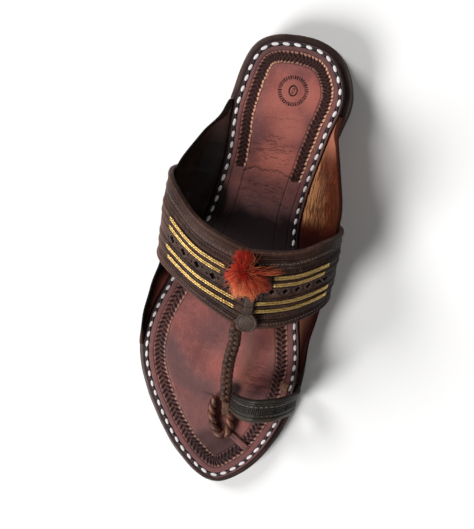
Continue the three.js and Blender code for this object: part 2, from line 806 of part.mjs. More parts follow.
function brassDiscGeometry() {
  const outline = range(brassDisc.sides).map((i) => {
    const angle = (2 * Math.PI * i) / brassDisc.sides;
    return [brassDisc.radius * Math.cos(angle), brassDisc.radius * Math.sin(angle)];
  });
  return plateGeometry(outline, rosette, brassLow, brassDisc.thickness, 3, brassDisc.dome);
}

// Stem and coin in one piece of leather: rows across it, from the brass disc to the coin's far edge.
function coinTabGeometry() {
  const end = coinTab.along - 0.98 * coinTab.radius; // stops short of the circle's far point
  const crosswise = [-1, -0.4, 0.4, 1];
  const rows = range(coinTab.steps + 1).map((i) => {
    const along = lerp(coinTab.rearAlong, end, Math.sin((i / coinTab.steps) * (Math.PI / 2)));
    const round = Math.sqrt(Math.max(0, coinTab.radius ** 2 - (along - coinTab.along) ** 2));
    const half = Math.max(round, along > coinTab.along ? coinTab.stemWidth / 2 : 0);
    const rise = readTable(coinTabRise, "rise", coinTab.rearAlong - along);
    return { along, half, rise };
  });
  const surface = (height) =>
    rows.map(({ along, half, rise }) =>
      crosswise.map((a) => aboveBand(coinTab.across + a * half, along, rise + height)),
    );
  return shellGeometry(surface(coinTab.thickness), surface(0));
}

// Turns and moves a shape modelled round the origin so that it stands on the band.
function standOnBand(geometry, across, along, height) {
  const seat = aboveBand(across, along, height);
  const { cross, share } = bandAt(across, along);
  const turn = new THREE.Quaternion();
  turn.setFromUnitVectors(new THREE.Vector3(0, 0, 1), bandNormal(cross, share));
  geometry.applyQuaternion(turn);
  geometry.translate(seat.x, seat.y, seat.z);
  return geometry;
}

function tasselRingGeometry(clearance = 0) {
  const { across, along, radius, wire } = tasselRing;
  const ring = new THREE.TorusGeometry(radius, wire + clearance, 6, 14);
  return standOnBand(ring, across, along, brassTop + wire);
}

// One lock of the tassel, drooping towards its tip: thickest a third of the way out.
function lockGeometry(heading, climb, length, width) {
  const flat = new THREE.Vector3(Math.cos(heading), Math.sin(heading), 0);
  const aim = flat.multiplyScalar(Math.cos(climb)).add(new THREE.Vector3(0, 0, Math.sin(climb)));
  const reaches = [0.12, 0.4, 0.7, 1];
  const path = new THREE.CatmullRomCurve3(
    reaches.map((reach) => {
      const p = aim.clone().multiplyScalar(reach * length);
      p.z -= tassel.droop * reach * reach;
      return p;
    }),
  );
  return sweptGeometry(path, reaches.length, (t) => {
    const radius = (width / 2) * (0.75 + 0.85 * t - 1.25 * t * t);
    return range(tassel.lockSides).map((k) => {
      const angle = (2 * Math.PI * k) / tassel.lockSides;
      return [radius * Math.cos(angle), tassel.lockFlatness * radius * Math.sin(angle)];
    });
  });
}

function tasselGeometry() {
  const core = new THREE.SphereGeometry(1, 12, 7);
  core.scale(tassel.coreRadius, tassel.coreRadius, tassel.coreHeight);
  let solid = toSolid(core);
  for (const [from, to, count, climb, length, width] of tasselFans.rows) {
    for (const i of range(count)) {
      const heading = lerp(from, to, count > 1 ? i / (count - 1) : 0);
      const reach = length * (1 + tassel.unevenLength * Math.sin(7 * heading + climb));
      const turn = THREE.MathUtils.degToRad(heading);
      const lift = THREE.MathUtils.degToRad(climb + tassel.unevenClimb * Math.sin(3 * i));
      solid = solid.add(toSolid(lockGeometry(turn, lift, reach, width)));
    }
  }
  const height = brassTop + GAP + tassel.coreHeight;
  const stood = toSolid(standOnBand(toGeometry(solid), tassel.across, tassel.along, height));
  return toGeometry(stood.subtract(toSolid(tasselRingGeometry(GAP))));
}

// ---------------------------------------------------------------- assembly
const sandal = new THREE.Group();
const drawn = new THREE.Group();
sandal.add(drawn);

function addPiece(name, geometry, colour, roughness = 0.6, metalness = 0) {
  const material = new THREE.MeshStandardMaterial({ color: colour, roughness, metalness });
  const mesh = new THREE.Mesh(geometry, material);
  mesh.name = name;
  drawn.add(mesh);
}

addPiece("outsole", outsoleGeometry(), colours.outsole);
for (const i of range(sole.liftCount)) addPiece(`heel_lift_${i + 1}`, liftGeometry(i), colours.lift);
addPiece("insole", insoleGeometry(), colours.insole, 0.5);
addPiece("upper", upperGeometry(), colours.upper);
addPiece("toe_braid", braidGeometry(), colours.braid);
addPiece("toe_post", toePostGeometry(), colours.braid);
addPiece("toe_knot", toeKnotGeometry(), colours.knot);
addPiece("toe_tab", toeTabGeometry(), colours.insole);
addPiece("toe_ring", toeRingGeometry(), colours.ring);
addPiece("rosette", rosetteGeometry(), colours.rosette);
addPiece("brass_disc", brassDiscGeometry(), colours.brass, 0.3, 1);
addPiece("coin_tab", coinTabGeometry(), colours.coin);
addPiece("tassel_ring", tasselRingGeometry(), colours.brass, 0.3, 1);
addPiece("tassel", tasselGeometry(), colours.tassel, 0.9);

const box = new THREE.Box3().setFromObject(drawn);
const middle = box.getCenter(new THREE.Vector3());
drawn.position.set(-middle.x, -middle.y, -box.min.z);
sandal.updateMatrixWorld(true);

export default sandal;
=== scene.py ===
import functools
import json
import math
import random

import bpy
import numpy as np
from mathutils import Matrix, Vector, kdtree

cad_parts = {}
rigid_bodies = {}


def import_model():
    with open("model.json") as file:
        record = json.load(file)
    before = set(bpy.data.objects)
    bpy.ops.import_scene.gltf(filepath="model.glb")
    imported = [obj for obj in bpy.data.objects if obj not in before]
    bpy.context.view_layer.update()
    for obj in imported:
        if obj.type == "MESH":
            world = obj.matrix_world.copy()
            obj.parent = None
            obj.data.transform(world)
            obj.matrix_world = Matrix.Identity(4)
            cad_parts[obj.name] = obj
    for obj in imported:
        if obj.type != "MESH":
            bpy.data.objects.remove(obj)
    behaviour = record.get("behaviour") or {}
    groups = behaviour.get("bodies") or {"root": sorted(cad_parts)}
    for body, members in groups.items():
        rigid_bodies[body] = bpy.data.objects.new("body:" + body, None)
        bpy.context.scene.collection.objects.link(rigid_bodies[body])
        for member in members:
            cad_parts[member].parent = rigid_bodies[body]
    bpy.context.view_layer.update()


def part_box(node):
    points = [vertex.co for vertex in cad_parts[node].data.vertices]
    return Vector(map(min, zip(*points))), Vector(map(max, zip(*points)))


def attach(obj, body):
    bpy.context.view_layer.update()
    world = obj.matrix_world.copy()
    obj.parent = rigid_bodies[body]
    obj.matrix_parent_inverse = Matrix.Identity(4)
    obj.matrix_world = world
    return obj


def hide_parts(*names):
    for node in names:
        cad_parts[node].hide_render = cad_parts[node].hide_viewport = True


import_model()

# A kolhapuri sandal for the right foot, dressed over its CAD solids.
# Pieces are drawn in millimetres with +x to the inner (big toe) side and +y to the heel,
# and turned into metres in the frame's own place when their mesh is made.
outer, inner = -1, 1
gap = 0.3  # air between neighbouring parts


def clearScene():
    for item in list(bpy.data.objects):
        if item.type in {"LIGHT", "CAMERA"}:
            bpy.data.objects.remove(item)


clearScene()

# camera, floor and light
camera = {  # in millimetres
    "place": (60.9, 79.6, 481.0),
    "aim": (-2.0, 2.0, 20.0),
    "rightSide": (0.982, 0.189, -0.017),  # which way the picture's right edge lies
    "lens": 54.44,
    "sensor": 36,
    "clip": (0.01, 20),  # metres
}
studio = {  # in metres
    "floorSize": 6.0,
    "floorColour": (0.9, 0.895, 0.89, 1),
    "floorRoughness": 0.9,
    "skyColour": (1.0, 0.99, 0.98, 1),
    "skyStrength": 0.12,
    "lights": {  # place, size across, watts
        "key": ((-1.56, -1.64, 2.0), 1.4, 90.0),
        "side": ((-2.0, 1.5, 2.0), 1.3, 66.0),
        "rim": ((0.95, 0.6, 0.75), 0.6, 2.0),
    },
}


def makeCamera():
    data = bpy.data.cameras.new("camera")
    data.lens, data.sensor_width = camera["lens"], camera["sensor"]
    data.clip_start, data.clip_end = camera["clip"]
    item = bpy.data.objects.new("camera", data)
    bpy.context.collection.objects.link(item)
    place, aim = Vector(camera["place"]) / 1000, Vector(camera["aim"]) / 1000
    ahead = (aim - place).normalized()
    right = Vector(camera["rightSide"])
    right = (right - ahead * right.dot(ahead)).normalized()
    turn = Matrix((right, right.cross(ahead), -ahead)).transposed()
    item.matrix_world = Matrix.Translation(place) @ turn.to_4x4()
    bpy.context.scene.camera = item


def makeStudio():
    half = studio["floorSize"] / 2
    mesh = bpy.data.meshes.new("floor")
    corners = [(-half, -half, 0), (half, -half, 0), (half, half, 0), (-half, half, 0)]
    mesh.from_pydata(corners, [], [(0, 1, 2, 3)])
    floor = bpy.data.objects.new("floor", mesh)
    bpy.context.collection.objects.link(floor)
    paint = bpy.data.materials.new("paleFloor")
    paint.use_nodes = True
    shader = paint.node_tree.nodes["Principled BSDF"]
    shader.inputs["Base Color"].default_value = studio["floorColour"]
    shader.inputs["Roughness"].default_value = studio["floorRoughness"]
    mesh.materials.append(paint)
    world = bpy.data.worlds.new("softSky")
    world.use_nodes = True
    sky = world.node_tree.nodes["Background"]
    sky.inputs["Color"].default_value = studio["skyColour"]
    sky.inputs["Strength"].default_value = studio["skyStrength"]
    bpy.context.scene.world = world
    bpy.context.scene.view_settings.view_transform = "Standard"
    for name, (place, size, watts) in studio["lights"].items():
        data = bpy.data.lights.new(name, "AREA")
        data.shape, data.size, data.energy = "DISK", size, watts
        lamp = bpy.data.objects.new(name, data)
        lamp.location = place
        lamp.rotation_euler = (-Vector(place)).to_track_quat("-Z", "Y").to_euler()
        bpy.context.collection.objects.link(lamp)


makeCamera()
makeStudio()
print("camera, floor and light are up")


# curves and tables
def lerp(a, b, t):
    return a + (b - a) * t


def smooth(t):
    t = np.clip(t, 0, 1)
    return t * t * (3 - 2 * t)


def bump(x, centre, halfWidth):  # 1 at the centre, falling smoothly to 0
    return smooth(1 - np.abs(x - centre) / halfWidth)


def zigzag(x):  # 0 at whole numbers, 1 halfway between
    return 1 - np.abs(2 * (x - np.floor(x)) - 1)


def unit(vectors):
    return vectors / np.linalg.norm(vectors, axis=-1, keepdims=True)


def runAlong(line):  # distance of each place from the line's start
    return np.concatenate([[0], np.cumsum(np.linalg.norm(np.diff(line, axis=0), axis=1))])


def circle(count):  # evenly spread angles
    return np.arange(count) * 2 * math.pi / count


def readTable(rows, column, at):  # smooth through the rows, with no overshoot
    table = np.array(rows, float)
    xs, ys = table[:, 0], table[:, column]
    secants = np.diff(ys) / np.diff(xs)
    slopes = np.concatenate([secants[:1], np.zeros(len(xs) - 2), secants[-1:]])
    before, after = secants[:-1], secants[1:]
    alike = before * after > 0
    total = np.where(alike, before + after, 1)
    slopes[1:-1] = np.where(alike, 2 * before * after / total, 0)
    x = np.clip(at, xs[0], xs[-1])
    i = np.clip(np.searchsorted(xs, x) - 1, 0, len(xs) - 2)
    width = xs[i + 1] - xs[i]
    t = (x - xs[i]) / width
    first = (1 - t) ** 2 * (ys[i] * (1 + 2 * t) + slopes[i] * width * t)
    return first + t * t * (ys[i + 1] * (3 - 2 * t) - slopes[i + 1] * width * (1 - t))


def smoothCurve(points, count, closed=False):  # evenly spread places and their headings
    points = np.array(points, float)
    if not closed:
        points = np.vstack([2 * points[0] - points[1], points, 2 * points[-1] - points[-2]])
    n = len(points)
    spans = n if closed else n - 3
    share = np.linspace(0, spans, 40 * spans, endpoint=not closed)
    k = np.minimum(share.astype(int), spans - 1)
    w = (share - k)[:, None]
    start = 0 if closed else 1
    p0, p1, p2, p3 = (points[(k + start + d) % n] for d in (-1, 0, 1, 2))
    d0, d1, d2 = (
        np.sqrt(np.linalg.norm(b - a, axis=1))[:, None] for a, b in ((p0, p1), (p1, p2), (p2, p3))
    )
    t1 = ((p1 - p0) / d0 - (p2 - p0) / (d0 + d1) + (p2 - p1) / d1) * d1
    t2 = ((p2 - p1) / d1 - (p3 - p1) / (d1 + d2) + (p3 - p2) / d2) * d1
    c2 = -3 * p1 + 3 * p2 - 2 * t1 - t2
    c3 = 2 * p1 - 2 * p2 + t1 + t2
    fine = p1 + t1 * w + c2 * w**2 + c3 * w**3
    if closed:
        fine = np.vstack([fine, fine[:1]])
    run = runAlong(fine)
    at = np.linspace(0, run[-1], count, endpoint=not closed)
    place = np.stack([np.interp(at, run, fine[:, a]) for a in range(fine.shape[1])], axis=1)
    if closed:
        ahead = np.roll(place, -1, axis=0) - np.roll(place, 1, axis=0)
    else:
        ahead = np.gradient(place, axis=0)
    return place, unit(ahead), run[-1]


# the sole's outline and profile
stitchLine = [  # across and along
    (5, 131), (23, 126.5), (33, 108), (28.5, 83), (22.8, 50), (21.5, 26), (29.5, -22),
    (35.6, -58), (30.5, -91), (16.5, -118.5), (-1.5, -131.3), (-21.5, -121.5), (-43, -95.5),
    (-55.6, -67), (-55.8, -43), (-46.5, -14), (-30.5, 24), (-23, 60), (-22.4, 98), (-13.5, 126.5),
]
sole = {
    "insole": 4.0,
    "outsole": 6.5,
    "insoleMargin": 2.8,  # how far each layer reaches outside the stitch line
    "outsoleMargin": 6.0,
    "toeSpring": 4.0,
    "toeSpringStart": -88.0,
    "shankStart": -15.0,
    "shankEnd": 54.0,
    "heelRise": 13.2,
    "heelBreast": 57.0,
    "lifts": 3,
    "liftFlare": 0.5,
    "uneven": 0.12,  # hand-cut edges waver by this much
    "toeSlack": 0.02,  # the frame's toe lies this much behind the drawn one
    "outlinePlaces": 5600,
}
stitchPlace, stitchAhead, stitchLength = smoothCurve(stitchLine, sole["outlinePlaces"], closed=True)
stitchOut = np.stack([-stitchAhead[:, 1], stitchAhead[:, 0]], axis=1)
stitchRun = np.arange(len(stitchPlace)) * stitchLength / len(stitchPlace)
stitchTree = kdtree.KDTree(len(stitchPlace))
for number, (x, y) in enumerate(stitchPlace):
    stitchTree.insert((x, y, 0), number)
stitchTree.balance()


@functools.cache
def outlineChains(margin):  # inner and outer side of the outline, both from toe to heel
    line = stitchPlace + stitchOut * margin
    heel, toe, count = int(np.argmax(line[:, 1])), int(np.argmin(line[:, 1])), len(line)
    innerSide = line[(heel + np.arange((toe - heel) % count + 1)) % count][::-1]
    outerSide = line[(toe + np.arange((heel - toe) % count + 1)) % count]
    return {inner: innerSide, outer: outerSide, "toe": line[toe, 1], "heel": line[heel, 1]}


def edgeAcross(side, along, margin):
    chain = outlineChains(margin)[side]
    return np.interp(along, chain[:, 1], chain[:, 0])


def inset(points):  # how far inside the stitch line, how far round it, and which way is out
    k = np.array([stitchTree.find((x, y, 0))[1] for x, y in points])
    away, out, ahead = points - stitchPlace[k, :2], stitchOut[k, :2], stitchAhead[k, :2]
    return -(away * out).sum(axis=1), stitchRun[k] + (away * ahead).sum(axis=1), out


heelAlong = outlineChains(0)["heel"]


def soleRise(along):
    shank = smooth((along - sole["shankStart"]) / (sole["shankEnd"] - sole["shankStart"]))
    toe = np.clip((sole["toeSpringStart"] - along) / (heelAlong + sole["toeSpringStart"]), 0, 9)
    return sole["heelRise"] * shank + sole["toeSpring"] * toe * toe


def outsoleTop(along):
    return soleRise(along) + sole["outsole"]


def insoleTop(along):
    return outsoleTop(along) + gap + sole["insole"]


# the foot form that the upper lies on
footForm = {
    "crownAcross": 5.0,
    "lowHandle": 0.25,  # handles of each side's curve, as shares of the form's height and reach
    "highHandle": 1.1,
    "widestAt": 0.45,
    "baseMargin": 4.2,
    "rows": [  # along, outer widest, inner widest, crown height
        (-60, -56, 38, 29), (-40, -56, 39.5, 34), (-20, -54.2, 42.8, 39.5), (0, -50.6, 45.6, 45.5),
        (20, -49.2, 46.5, 52), (40, -47.6, 46.3, 57), (57, -45.2, 44.2, 61), (76, -38.8, 39.6, 64),
        (89, -29.5, 36, 66), (97, -27.5, 35.5, 67),
    ],
}
ear = {
    "thickness": 2.0,
    "flange": 7.0,
    "edge": {  # along, height of the free edge above the insole
        outer: [
            (-60, 1), (-45, 4), (-27, 8.5), (-8, 14), (6, 19), (25, 25.5), (42, 28.5), (51, 27.5),
            (57, 24), (66, 18), (76, 11.5), (87, 4.5), (96, 1),
        ],
        inner: [
            (-57, 1), (-42, 4), (-25, 9), (-8, 14), (6, 19.5), (25, 25.5), (38, 27), (48, 24.5),
            (60, 18.5), (74, 11), (86, 5), (96, 1),
        ],
    },
}
band = {
    "thickness": 2.4,
    "lift": 0.6,  # its inner face above the form
    "endClimb": 0.16,
    "rearCentre": 20.6,
    "frontCentre": -26.9,
    "sweep": [  # down, outer rear, outer front, inner rear, inner front
        (0, 0, 0, 0, 0), (0.2, 9.9, 12.5, 3.6, 5.1), (0.4, 24.4, 22.7, 10.8, 13.1),
        (0.6, 31.9, 28.4, 14.6, 20), (0.8, 34.4, 31.9, 16.6, 24.5), (1, 36.4, 35, 18, 28.5),
    ],
    "leanReach": 0.2,
    "lean": [(0, 0), (0.33, 0.02), (0.68, 0.03), (0.8, 0.03), (0.9, 0.01), (1, 0)],
}


def formPoint(side, climb, along):
    climb, along = np.broadcast_arrays(np.asarray(climb, float), np.asarray(along, float))
    base = edgeAcross(side, along, footForm["baseMargin"])
    floor = outsoleTop(along) - ear["thickness"] / 2
    crown = footForm["crownAcross"]
    height = insoleTop(along) + readTable(footForm["rows"], 3, along) - floor
    widest = readTable(footForm["rows"], 2 if side == inner else 1, along)
    w, high = footForm["widestAt"], footForm["highHandle"]
    low, mid = 3 * w * (1 - w) ** 2, 3 * w * w * (1 - w)
    baseShare, reachShare = (1 - w) ** 3 + low + mid, low + high * mid
    reach = (widest - baseShare * base - w**3 * crown) / reachShare
    b0, b1, b2, b3 = (1 - climb) ** 3, 3 * climb * (1 - climb) ** 2, 3 * climb**2 * (1 - climb), climb**3
    across = b0 * base + b1 * (base + reach) + b2 * (base + high * reach) + b3 * crown
    rise = floor + height * (footForm["lowHandle"] * b1 + b2 + b3)
    return np.stack([across, along, rise], axis=-1)


def bandPlace(cross, share):
    down = np.abs(cross)
    sides = {}
    for side, rearColumn in ((outer, 1), (inner, 3)):
        rear = band["rearCentre"] + readTable(band["sweep"], rearColumn, down)
        front = band["frontCentre"] + readTable(band["sweep"], rearColumn + 1, down)
        sides[side] = formPoint(side, 1 - down * (1 - band["endClimb"]), lerp(rear, front, share))
    return np.where((np.asarray(cross) < 0)[..., None], sides[outer], sides[inner])


def bandNormal(cross, share, step=0.01):
    u = bandPlace(np.minimum(1, cross + step), share) - bandPlace(np.maximum(-1, cross - step), share)
    v = bandPlace(cross, np.maximum(0, share - step)) - bandPlace(cross, np.minimum(1, share + step))
    return unit(np.cross(u, v))


def bandPoint(cross, share, height):  # height above the band's inner face
    cross, share = np.broadcast_arrays(np.asarray(cross, float), np.asarray(share, float))
    lift = np.asarray(band["lift"] + height)[..., None]
    return bandPlace(cross, share) + bandNormal(cross, share) * lift


def leanAt(cross, share):  # rows of work on the band lie a little askew
    return np.clip(np.asarray(cross) / band["leanReach"], -1, 1) * readTable(band["lean"], 1, share)


# making pieces
def laidOnFrame():  # from the drawing's place to the frame's, by the outsole's outer and toe edges
    low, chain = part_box("outsole")[0], outlineChains(sole["outsoleMargin"])
    across = low[0] * 1000 - chain[outer][:, 0].min()
    return np.array([across, low[1] * 1000 - chain["toe"] - sole["toeSlack"], 0.0])


rowShift = laidOnFrame()


def makePiece(name, points, faces, material, slot, stands=(), marks=None):
    mesh = bpy.data.meshes.new(name)
    places = (np.asarray(points, float).reshape(-1, 3) + rowShift) / 1000
    sizes = np.array([len(face) for face in faces])
    loops = np.concatenate([np.asarray(face) for face in faces])
    starts = np.concatenate([[0], np.cumsum(sizes)[:-1]])
    mesh.vertices.add(len(places))
    mesh.vertices.foreach_set("co", places.reshape(-1))
    mesh.loops.add(len(loops))
    mesh.loops.foreach_set("vertex_index", loops.astype(np.int32))
    mesh.polygons.add(len(sizes))
    mesh.polygons.foreach_set("loop_start", starts.astype(np.int32))
    mesh.update(calc_edges=True)
    mesh.validate()
    for mark, values in ({"pressed": 0.0, "wornAndLit": 0.0} | (marks or {})).items():
        layer = mesh.attributes.new(mark, "FLOAT", "POINT")
        spread = np.broadcast_to(np.asarray(values, np.float32).reshape(-1), len(places))
        layer.data.foreach_set("value", np.array(spread))
    mesh.shade_smooth()
    mesh.materials.append(material)
    item = bpy.data.objects.new(name, mesh)
    bpy.context.collection.objects.link(item)
    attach(item, "root")
    if stands:
        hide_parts(*stands)


def gridFaces(rows, columns, wrapRows=False, wrapColumns=False, start=0):
    i = np.arange(rows if wrapRows else rows - 1)[:, None]
    j = np.arange(columns if wrapColumns else columns - 1)[None, :]
    i2, j2 = (i + 1) % rows, (j + 1) % columns
    quads = np.stack([i * columns + j, i * columns + j2, i2 * columns + j2, i2 * columns + j], axis=-1)
    return quads.reshape(-1, 4) + start


def tubeFaces(rows, columns, turned=False):  # rings joined in a row, with both ends closed
    faces = gridFaces(rows, columns, wrapColumns=True)
    ends = [np.arange(columns)[::-1], np.arange(columns) + (rows - 1) * columns]
    if turned:
        faces, ends = faces[:, ::-1], [end[::-1] for end in ends]
    return list(faces) + ends


def makeSlab(name, top, low, pressed, material, slot, stands=()):  # a plate between two grids of places
    rows, columns = top.shape[:2]
    count = rows * columns
    grid = np.arange(count).reshape(rows, columns)
    faces = list(gridFaces(rows, columns)) + list(gridFaces(rows, columns, start=count)[:, ::-1])
    rim = np.concatenate([grid[:-1, 0], grid[-1, :-1], grid[:0:-1, -1], grid[0, :0:-1]])
    nextRim = np.roll(rim, -1)
    faces += list(np.stack([rim, rim + count, nextRim + count, nextRim], axis=1)[:, ::-1])
    points = np.concatenate([top.reshape(-1, 3), low.reshape(-1, 3)])
    marks = {"pressed": np.concatenate([pressed.reshape(-1), np.zeros(count)])}
    makePiece(name, points, faces, material, slot, stands, marks)


def shareGrid(rows, columns):
    return np.meshgrid(np.linspace(0, 1, rows), np.linspace(0, 1, columns), indexing="ij")


def joined(across, along, height):  # three grids of numbers as one grid of places
    return np.stack(np.broadcast_arrays(across, along, height), axis=-1)


class Shapes:  # gathers several small shapes into one mesh
    def __init__(self):
        self.points, self.faces, self.marks, self.count = [], [], {}, 0

    def add(self, points, faces, **marks):
        points = np.asarray(points, float).reshape(-1, 3)
        self.points.append(points)
        self.faces += [np.asarray(face) + self.count for face in faces]
        self.count += len(points)
        for mark, value in marks.items():
            self.marks.setdefault(mark, []).append(np.broadcast_to(value, len(points)))

    def make(self, name, material, slot, stands=()):
        marks = {mark: np.concatenate(values) for mark, values in self.marks.items()}
        makePiece(name, np.concatenate(self.points), self.faces, material, slot, stands, marks)


def acrossPath(path, up):  # at each step of one or several paths, which way is aside and which is above
    ahead = unit(np.gradient(path, axis=-2))
    aside = unit(np.cross(ahead, np.broadcast_to(up, ahead.shape)))
    return aside, np.cross(aside, ahead)


def ringsAround(path, section, up):  # a section holds offsets aside and above
    aside, above = (way[..., None, :] for way in acrossPath(path, up))
    return path[..., None, :] + aside * section[..., :1] + above * section[..., 1:]


def sweep(path, section, up):  # a solid along one path
    rings = ringsAround(path, section, up)
    return rings, tubeFaces(*rings.shape[:2], turned=True)


def ovals(reach, angle):  # sections, from their reach at each angle
    return np.stack([reach * np.cos(angle), reach * np.sin(angle)], axis=-1)


def squared(values, power):  # turns a circle's sine or cosine into a squarer one
    return np.sign(values) * np.abs(values) ** power


def padShape(place, ahead, out, up, size, plies, turn, twist=0.0):  # one short plump stitch
    length, width, height = size
    c, s = math.cos(turn), math.sin(turn)
    ahead, out = ahead * c + out * s, out * c - ahead * s
    steps, sides = 11, 10
    t, angle = np.linspace(-1, 1, steps)[:, None], circle(sides)
    fat = np.maximum(0.12, 1 - np.abs(t) ** 2.6) ** 0.5 * (1 + plies * np.cos(3 * (angle + twist * t)))
    aside = 0.5 * width * fat * np.cos(angle)
    dip = 0.35 * np.abs(t) ** 2.5  # the ends go down into the leather
    rise = height * (0.8 * fat * np.sin(angle) - dip)
    rings = place + ahead * (t * length / 2)[..., None] + out * aside[..., None] + up * rise[..., None]
    return rings, tubeFaces(steps, sides)


# finishes
class Finish:  # a material, and short ways to add nodes to it
    def __init__(self, name):
        self.material = bpy.data.materials.new(name)
        self.material.use_nodes = True
        self.tree = self.material.node_tree
        self.shader = self.tree.nodes["Principled BSDF"]
        self.place = self.add("ShaderNodeTexCoord").outputs["Object"]

    def add(self, kind, inputs=None, **settings):
        node = self.tree.nodes.new(kind)
        for key, value in settings.items():
            setattr(node, key, value)
        self.fill(node, inputs or {})
        return node

    def fill(self, node, inputs):  # each socket gets a link or a fixed value
        for name, value in inputs.items():
            if isinstance(value, bpy.types.NodeSocket):
                self.tree.links.new(value, node.inputs[name])
            else:
                node.inputs[name].default_value = value

    def stretch(self, scale):  # per millimetre along each axis
        inputs = {"Vector": self.place, "Scale": [1000 * s for s in scale]}
        return self.add("ShaderNodeMapping", inputs).outputs["Vector"]

    def noise(self, size, detail, rough, distort=0.0, scale=None):  # size in millimetres, or stretched
        inputs = {"Vector": self.place, "Scale": 1000 / size}
        if scale:
            inputs = {"Vector": self.stretch(scale), "Scale": 1 / size}
        inputs |= {"Detail": detail, "Roughness": rough, "Distortion": distort}
        return self.add("ShaderNodeTexNoise", inputs).outputs["Fac"]

    def mark(self, name):
        return self.add("ShaderNodeAttribute", attribute_name=name).outputs["Fac"]

    def calculate(self, kind, a, b, clamp=False):
        return self.add("ShaderNodeMath", {0: a, 1: b}, operation=kind, use_clamp=clamp).outputs[0]

    def between(self, value, low, high, fromZero=0.0, toOne=1.0):  # smooth step
        inputs = {"Value": value, "From Min": low, "From Max": high, "To Min": fromZero, "To Max": toOne}
        return self.add("ShaderNodeMapRange", inputs, interpolation_type="SMOOTHSTEP").outputs["Result"]

    def blend(self, share, a, b):
        colours = [c if isinstance(c, bpy.types.NodeSocket) else (*c[:3], 1) for c in (a, b)]
        inputs = {"Factor": share, 6: colours[0], 7: colours[1]}
        return self.add("ShaderNodeMix", inputs, data_type="RGBA").outputs[2]

    def emboss(self, height, depth, under=None):  # depth in millimetres
        inputs = {"Strength": 1.0, "Distance": depth / 1000, "Height": height}
        if under is not None:
            inputs["Normal"] = under
        return self.add("ShaderNodeBump", inputs).outputs["Normal"]

    def finish(self, inputs):
        self.fill(self.shader, inputs)
        return self.material


plainLeather = {  # what a look holds unless it says otherwise
    "grain": 0.8, "pebbleDepth": 0.06, "fibre": (0.5, 0.5, 0.5), "fibreDepth": 0.06, "streak": 0.3,
    "speck": 0.25, "roughGrain": 0.1, "swellDepth": 0.25, "shine": 0.3, "coat": 0.08, "coatRough": 0.3,
}


def leather(name, colours, look):  # colours are dark, middle and light
    made, look, (dark, mid, light) = Finish(name), plainLeather | look, colours
    matt = made.mark("pressed")  # dark places shine less
    clouds = made.noise(look["cloud"], 3, 0.55, 0.3)
    pores = made.noise(look["grain"] * 0.8, 3, 0.6)
    cells = {"Vector": made.place, "Scale": 1000 / look["grain"], "Smoothness": 0.5}
    pebble = made.add("ShaderNodeTexVoronoi", cells, feature="SMOOTH_F1").outputs["Distance"]
    fibre = made.noise(1, 4, 0.6, 0.5, look["fibre"])
    colour = made.blend(made.between(clouds, 0.3, 0.7), dark, mid)
    colour = made.blend(made.between(fibre, 0.52, 0.78, 0, look["streak"]), colour, light)
    speck = made.between(pores, 0.35, 0.6, look["speck"], 0)
    colour = made.blend(speck, colour, [0.45 * c for c in dark])
    if "mottle" in look:  # small uneven patches of dye
        patches = made.noise(look["cloud"] * 0.14, 3, 0.65, 0.6)
        darker = made.between(patches, 0.5, 0.72, 0, look["mottle"])
        colour = made.blend(darker, colour, [0.5 * c for c in mid])
        colour = made.blend(made.between(patches, 0.48, 0.3, 0, look["mottle"] * 0.7), colour, light)
    if "tan" in look:
        colour = made.blend(made.mark("tan"), colour, look["tan"])
    # darker places: dye and stains, and painted shade
    if "stainAndShade" in look:
        cloudy = made.between(clouds, 0.2, 0.8, 0.86, 1.14)
        stainAndShade = made.calculate("MULTIPLY", made.mark("stainAndShade"), cloudy, True)
        dyeAndShade = made.blend(made.between(stainAndShade, 0.55, 1.05), look.get("faint", look["stainAndShade"]), look["stainAndShade"])
        colour = made.blend(stainAndShade, colour, dyeAndShade)
        matt = made.calculate("MAXIMUM", matt, stainAndShade)
    # lighter places: paler leather and painted highlight
    if "blushAndHighlight" in look:
        colour = made.blend(made.mark("blushAndHighlight"), colour, look["blushAndHighlight"])
    if "sheen" in look:  # long streaks that catch the light
        streaks = made.between(made.noise(1, 3, 0.6, 0.35, look["sheenStretch"]), 0.38, 0.64, 0.08, 0.95)
        sheen = made.calculate("MULTIPLY", made.mark("sheen"), streaks, True)
        colour = made.blend(sheen, colour, look["sheen"])
    colour = made.blend(made.mark("pressed"), colour, look.get("pressedColour", [0.2 * c for c in dark]))
    # paler worn places and painted highlight
    colour = made.blend(made.mark("wornAndLit"), colour, look.get("wornAndLitColour", light))
    grainy = made.calculate("MULTIPLY", pores, look["roughGrain"])
    rough = made.calculate("ADD", made.between(clouds, 0.25, 0.75, *look["rough"]), grainy, True)
    normal = made.emboss(pebble, look["pebbleDepth"])
    if "wrinkles" in look:  # a net of short dark folds lying across the part
        folds = made.between(made.noise(1, 3, 0.6, 1.2, look["wrinkles"]), 0.44, 0.36)
        fold = made.calculate("MULTIPLY", folds, made.mark("wrinkled"), True)
        colour = made.blend(made.calculate("MULTIPLY", fold, 0.4), colour, [0.3 * c for c in dark])
        normal = made.emboss(fold, -0.3, normal)
    normal = made.emboss(fibre, look["fibreDepth"], normal)
    normal = made.emboss(made.noise(look["grain"] * 9, 2, 0.5), look["swellDepth"], normal)
    return made.finish({
        "Base Color": colour, "Roughness": rough, "Normal": normal, "Coat Roughness": look["coatRough"],
        "Specular IOR Level": made.between(matt, 0.1, 1.0, look["shine"], 0.12 * look["shine"]),
        "Coat Weight": made.between(matt, 0.1, 0.9, look["coat"], 0.0),
    })


def threadFinish(name, colour, shade, rough):
    made = Finish(name)
    fuzz = made.noise(0.35, 3, 0.6)
    tone = made.blend(made.between(fuzz, 0.3, 0.7), shade, colour)
    tone = made.blend(made.calculate("MULTIPLY", made.mark("tint"), 0.35), tone, shade)
    return made.finish({"Base Color": tone, "Roughness": rough, "Normal": made.emboss(fuzz, 0.09)})


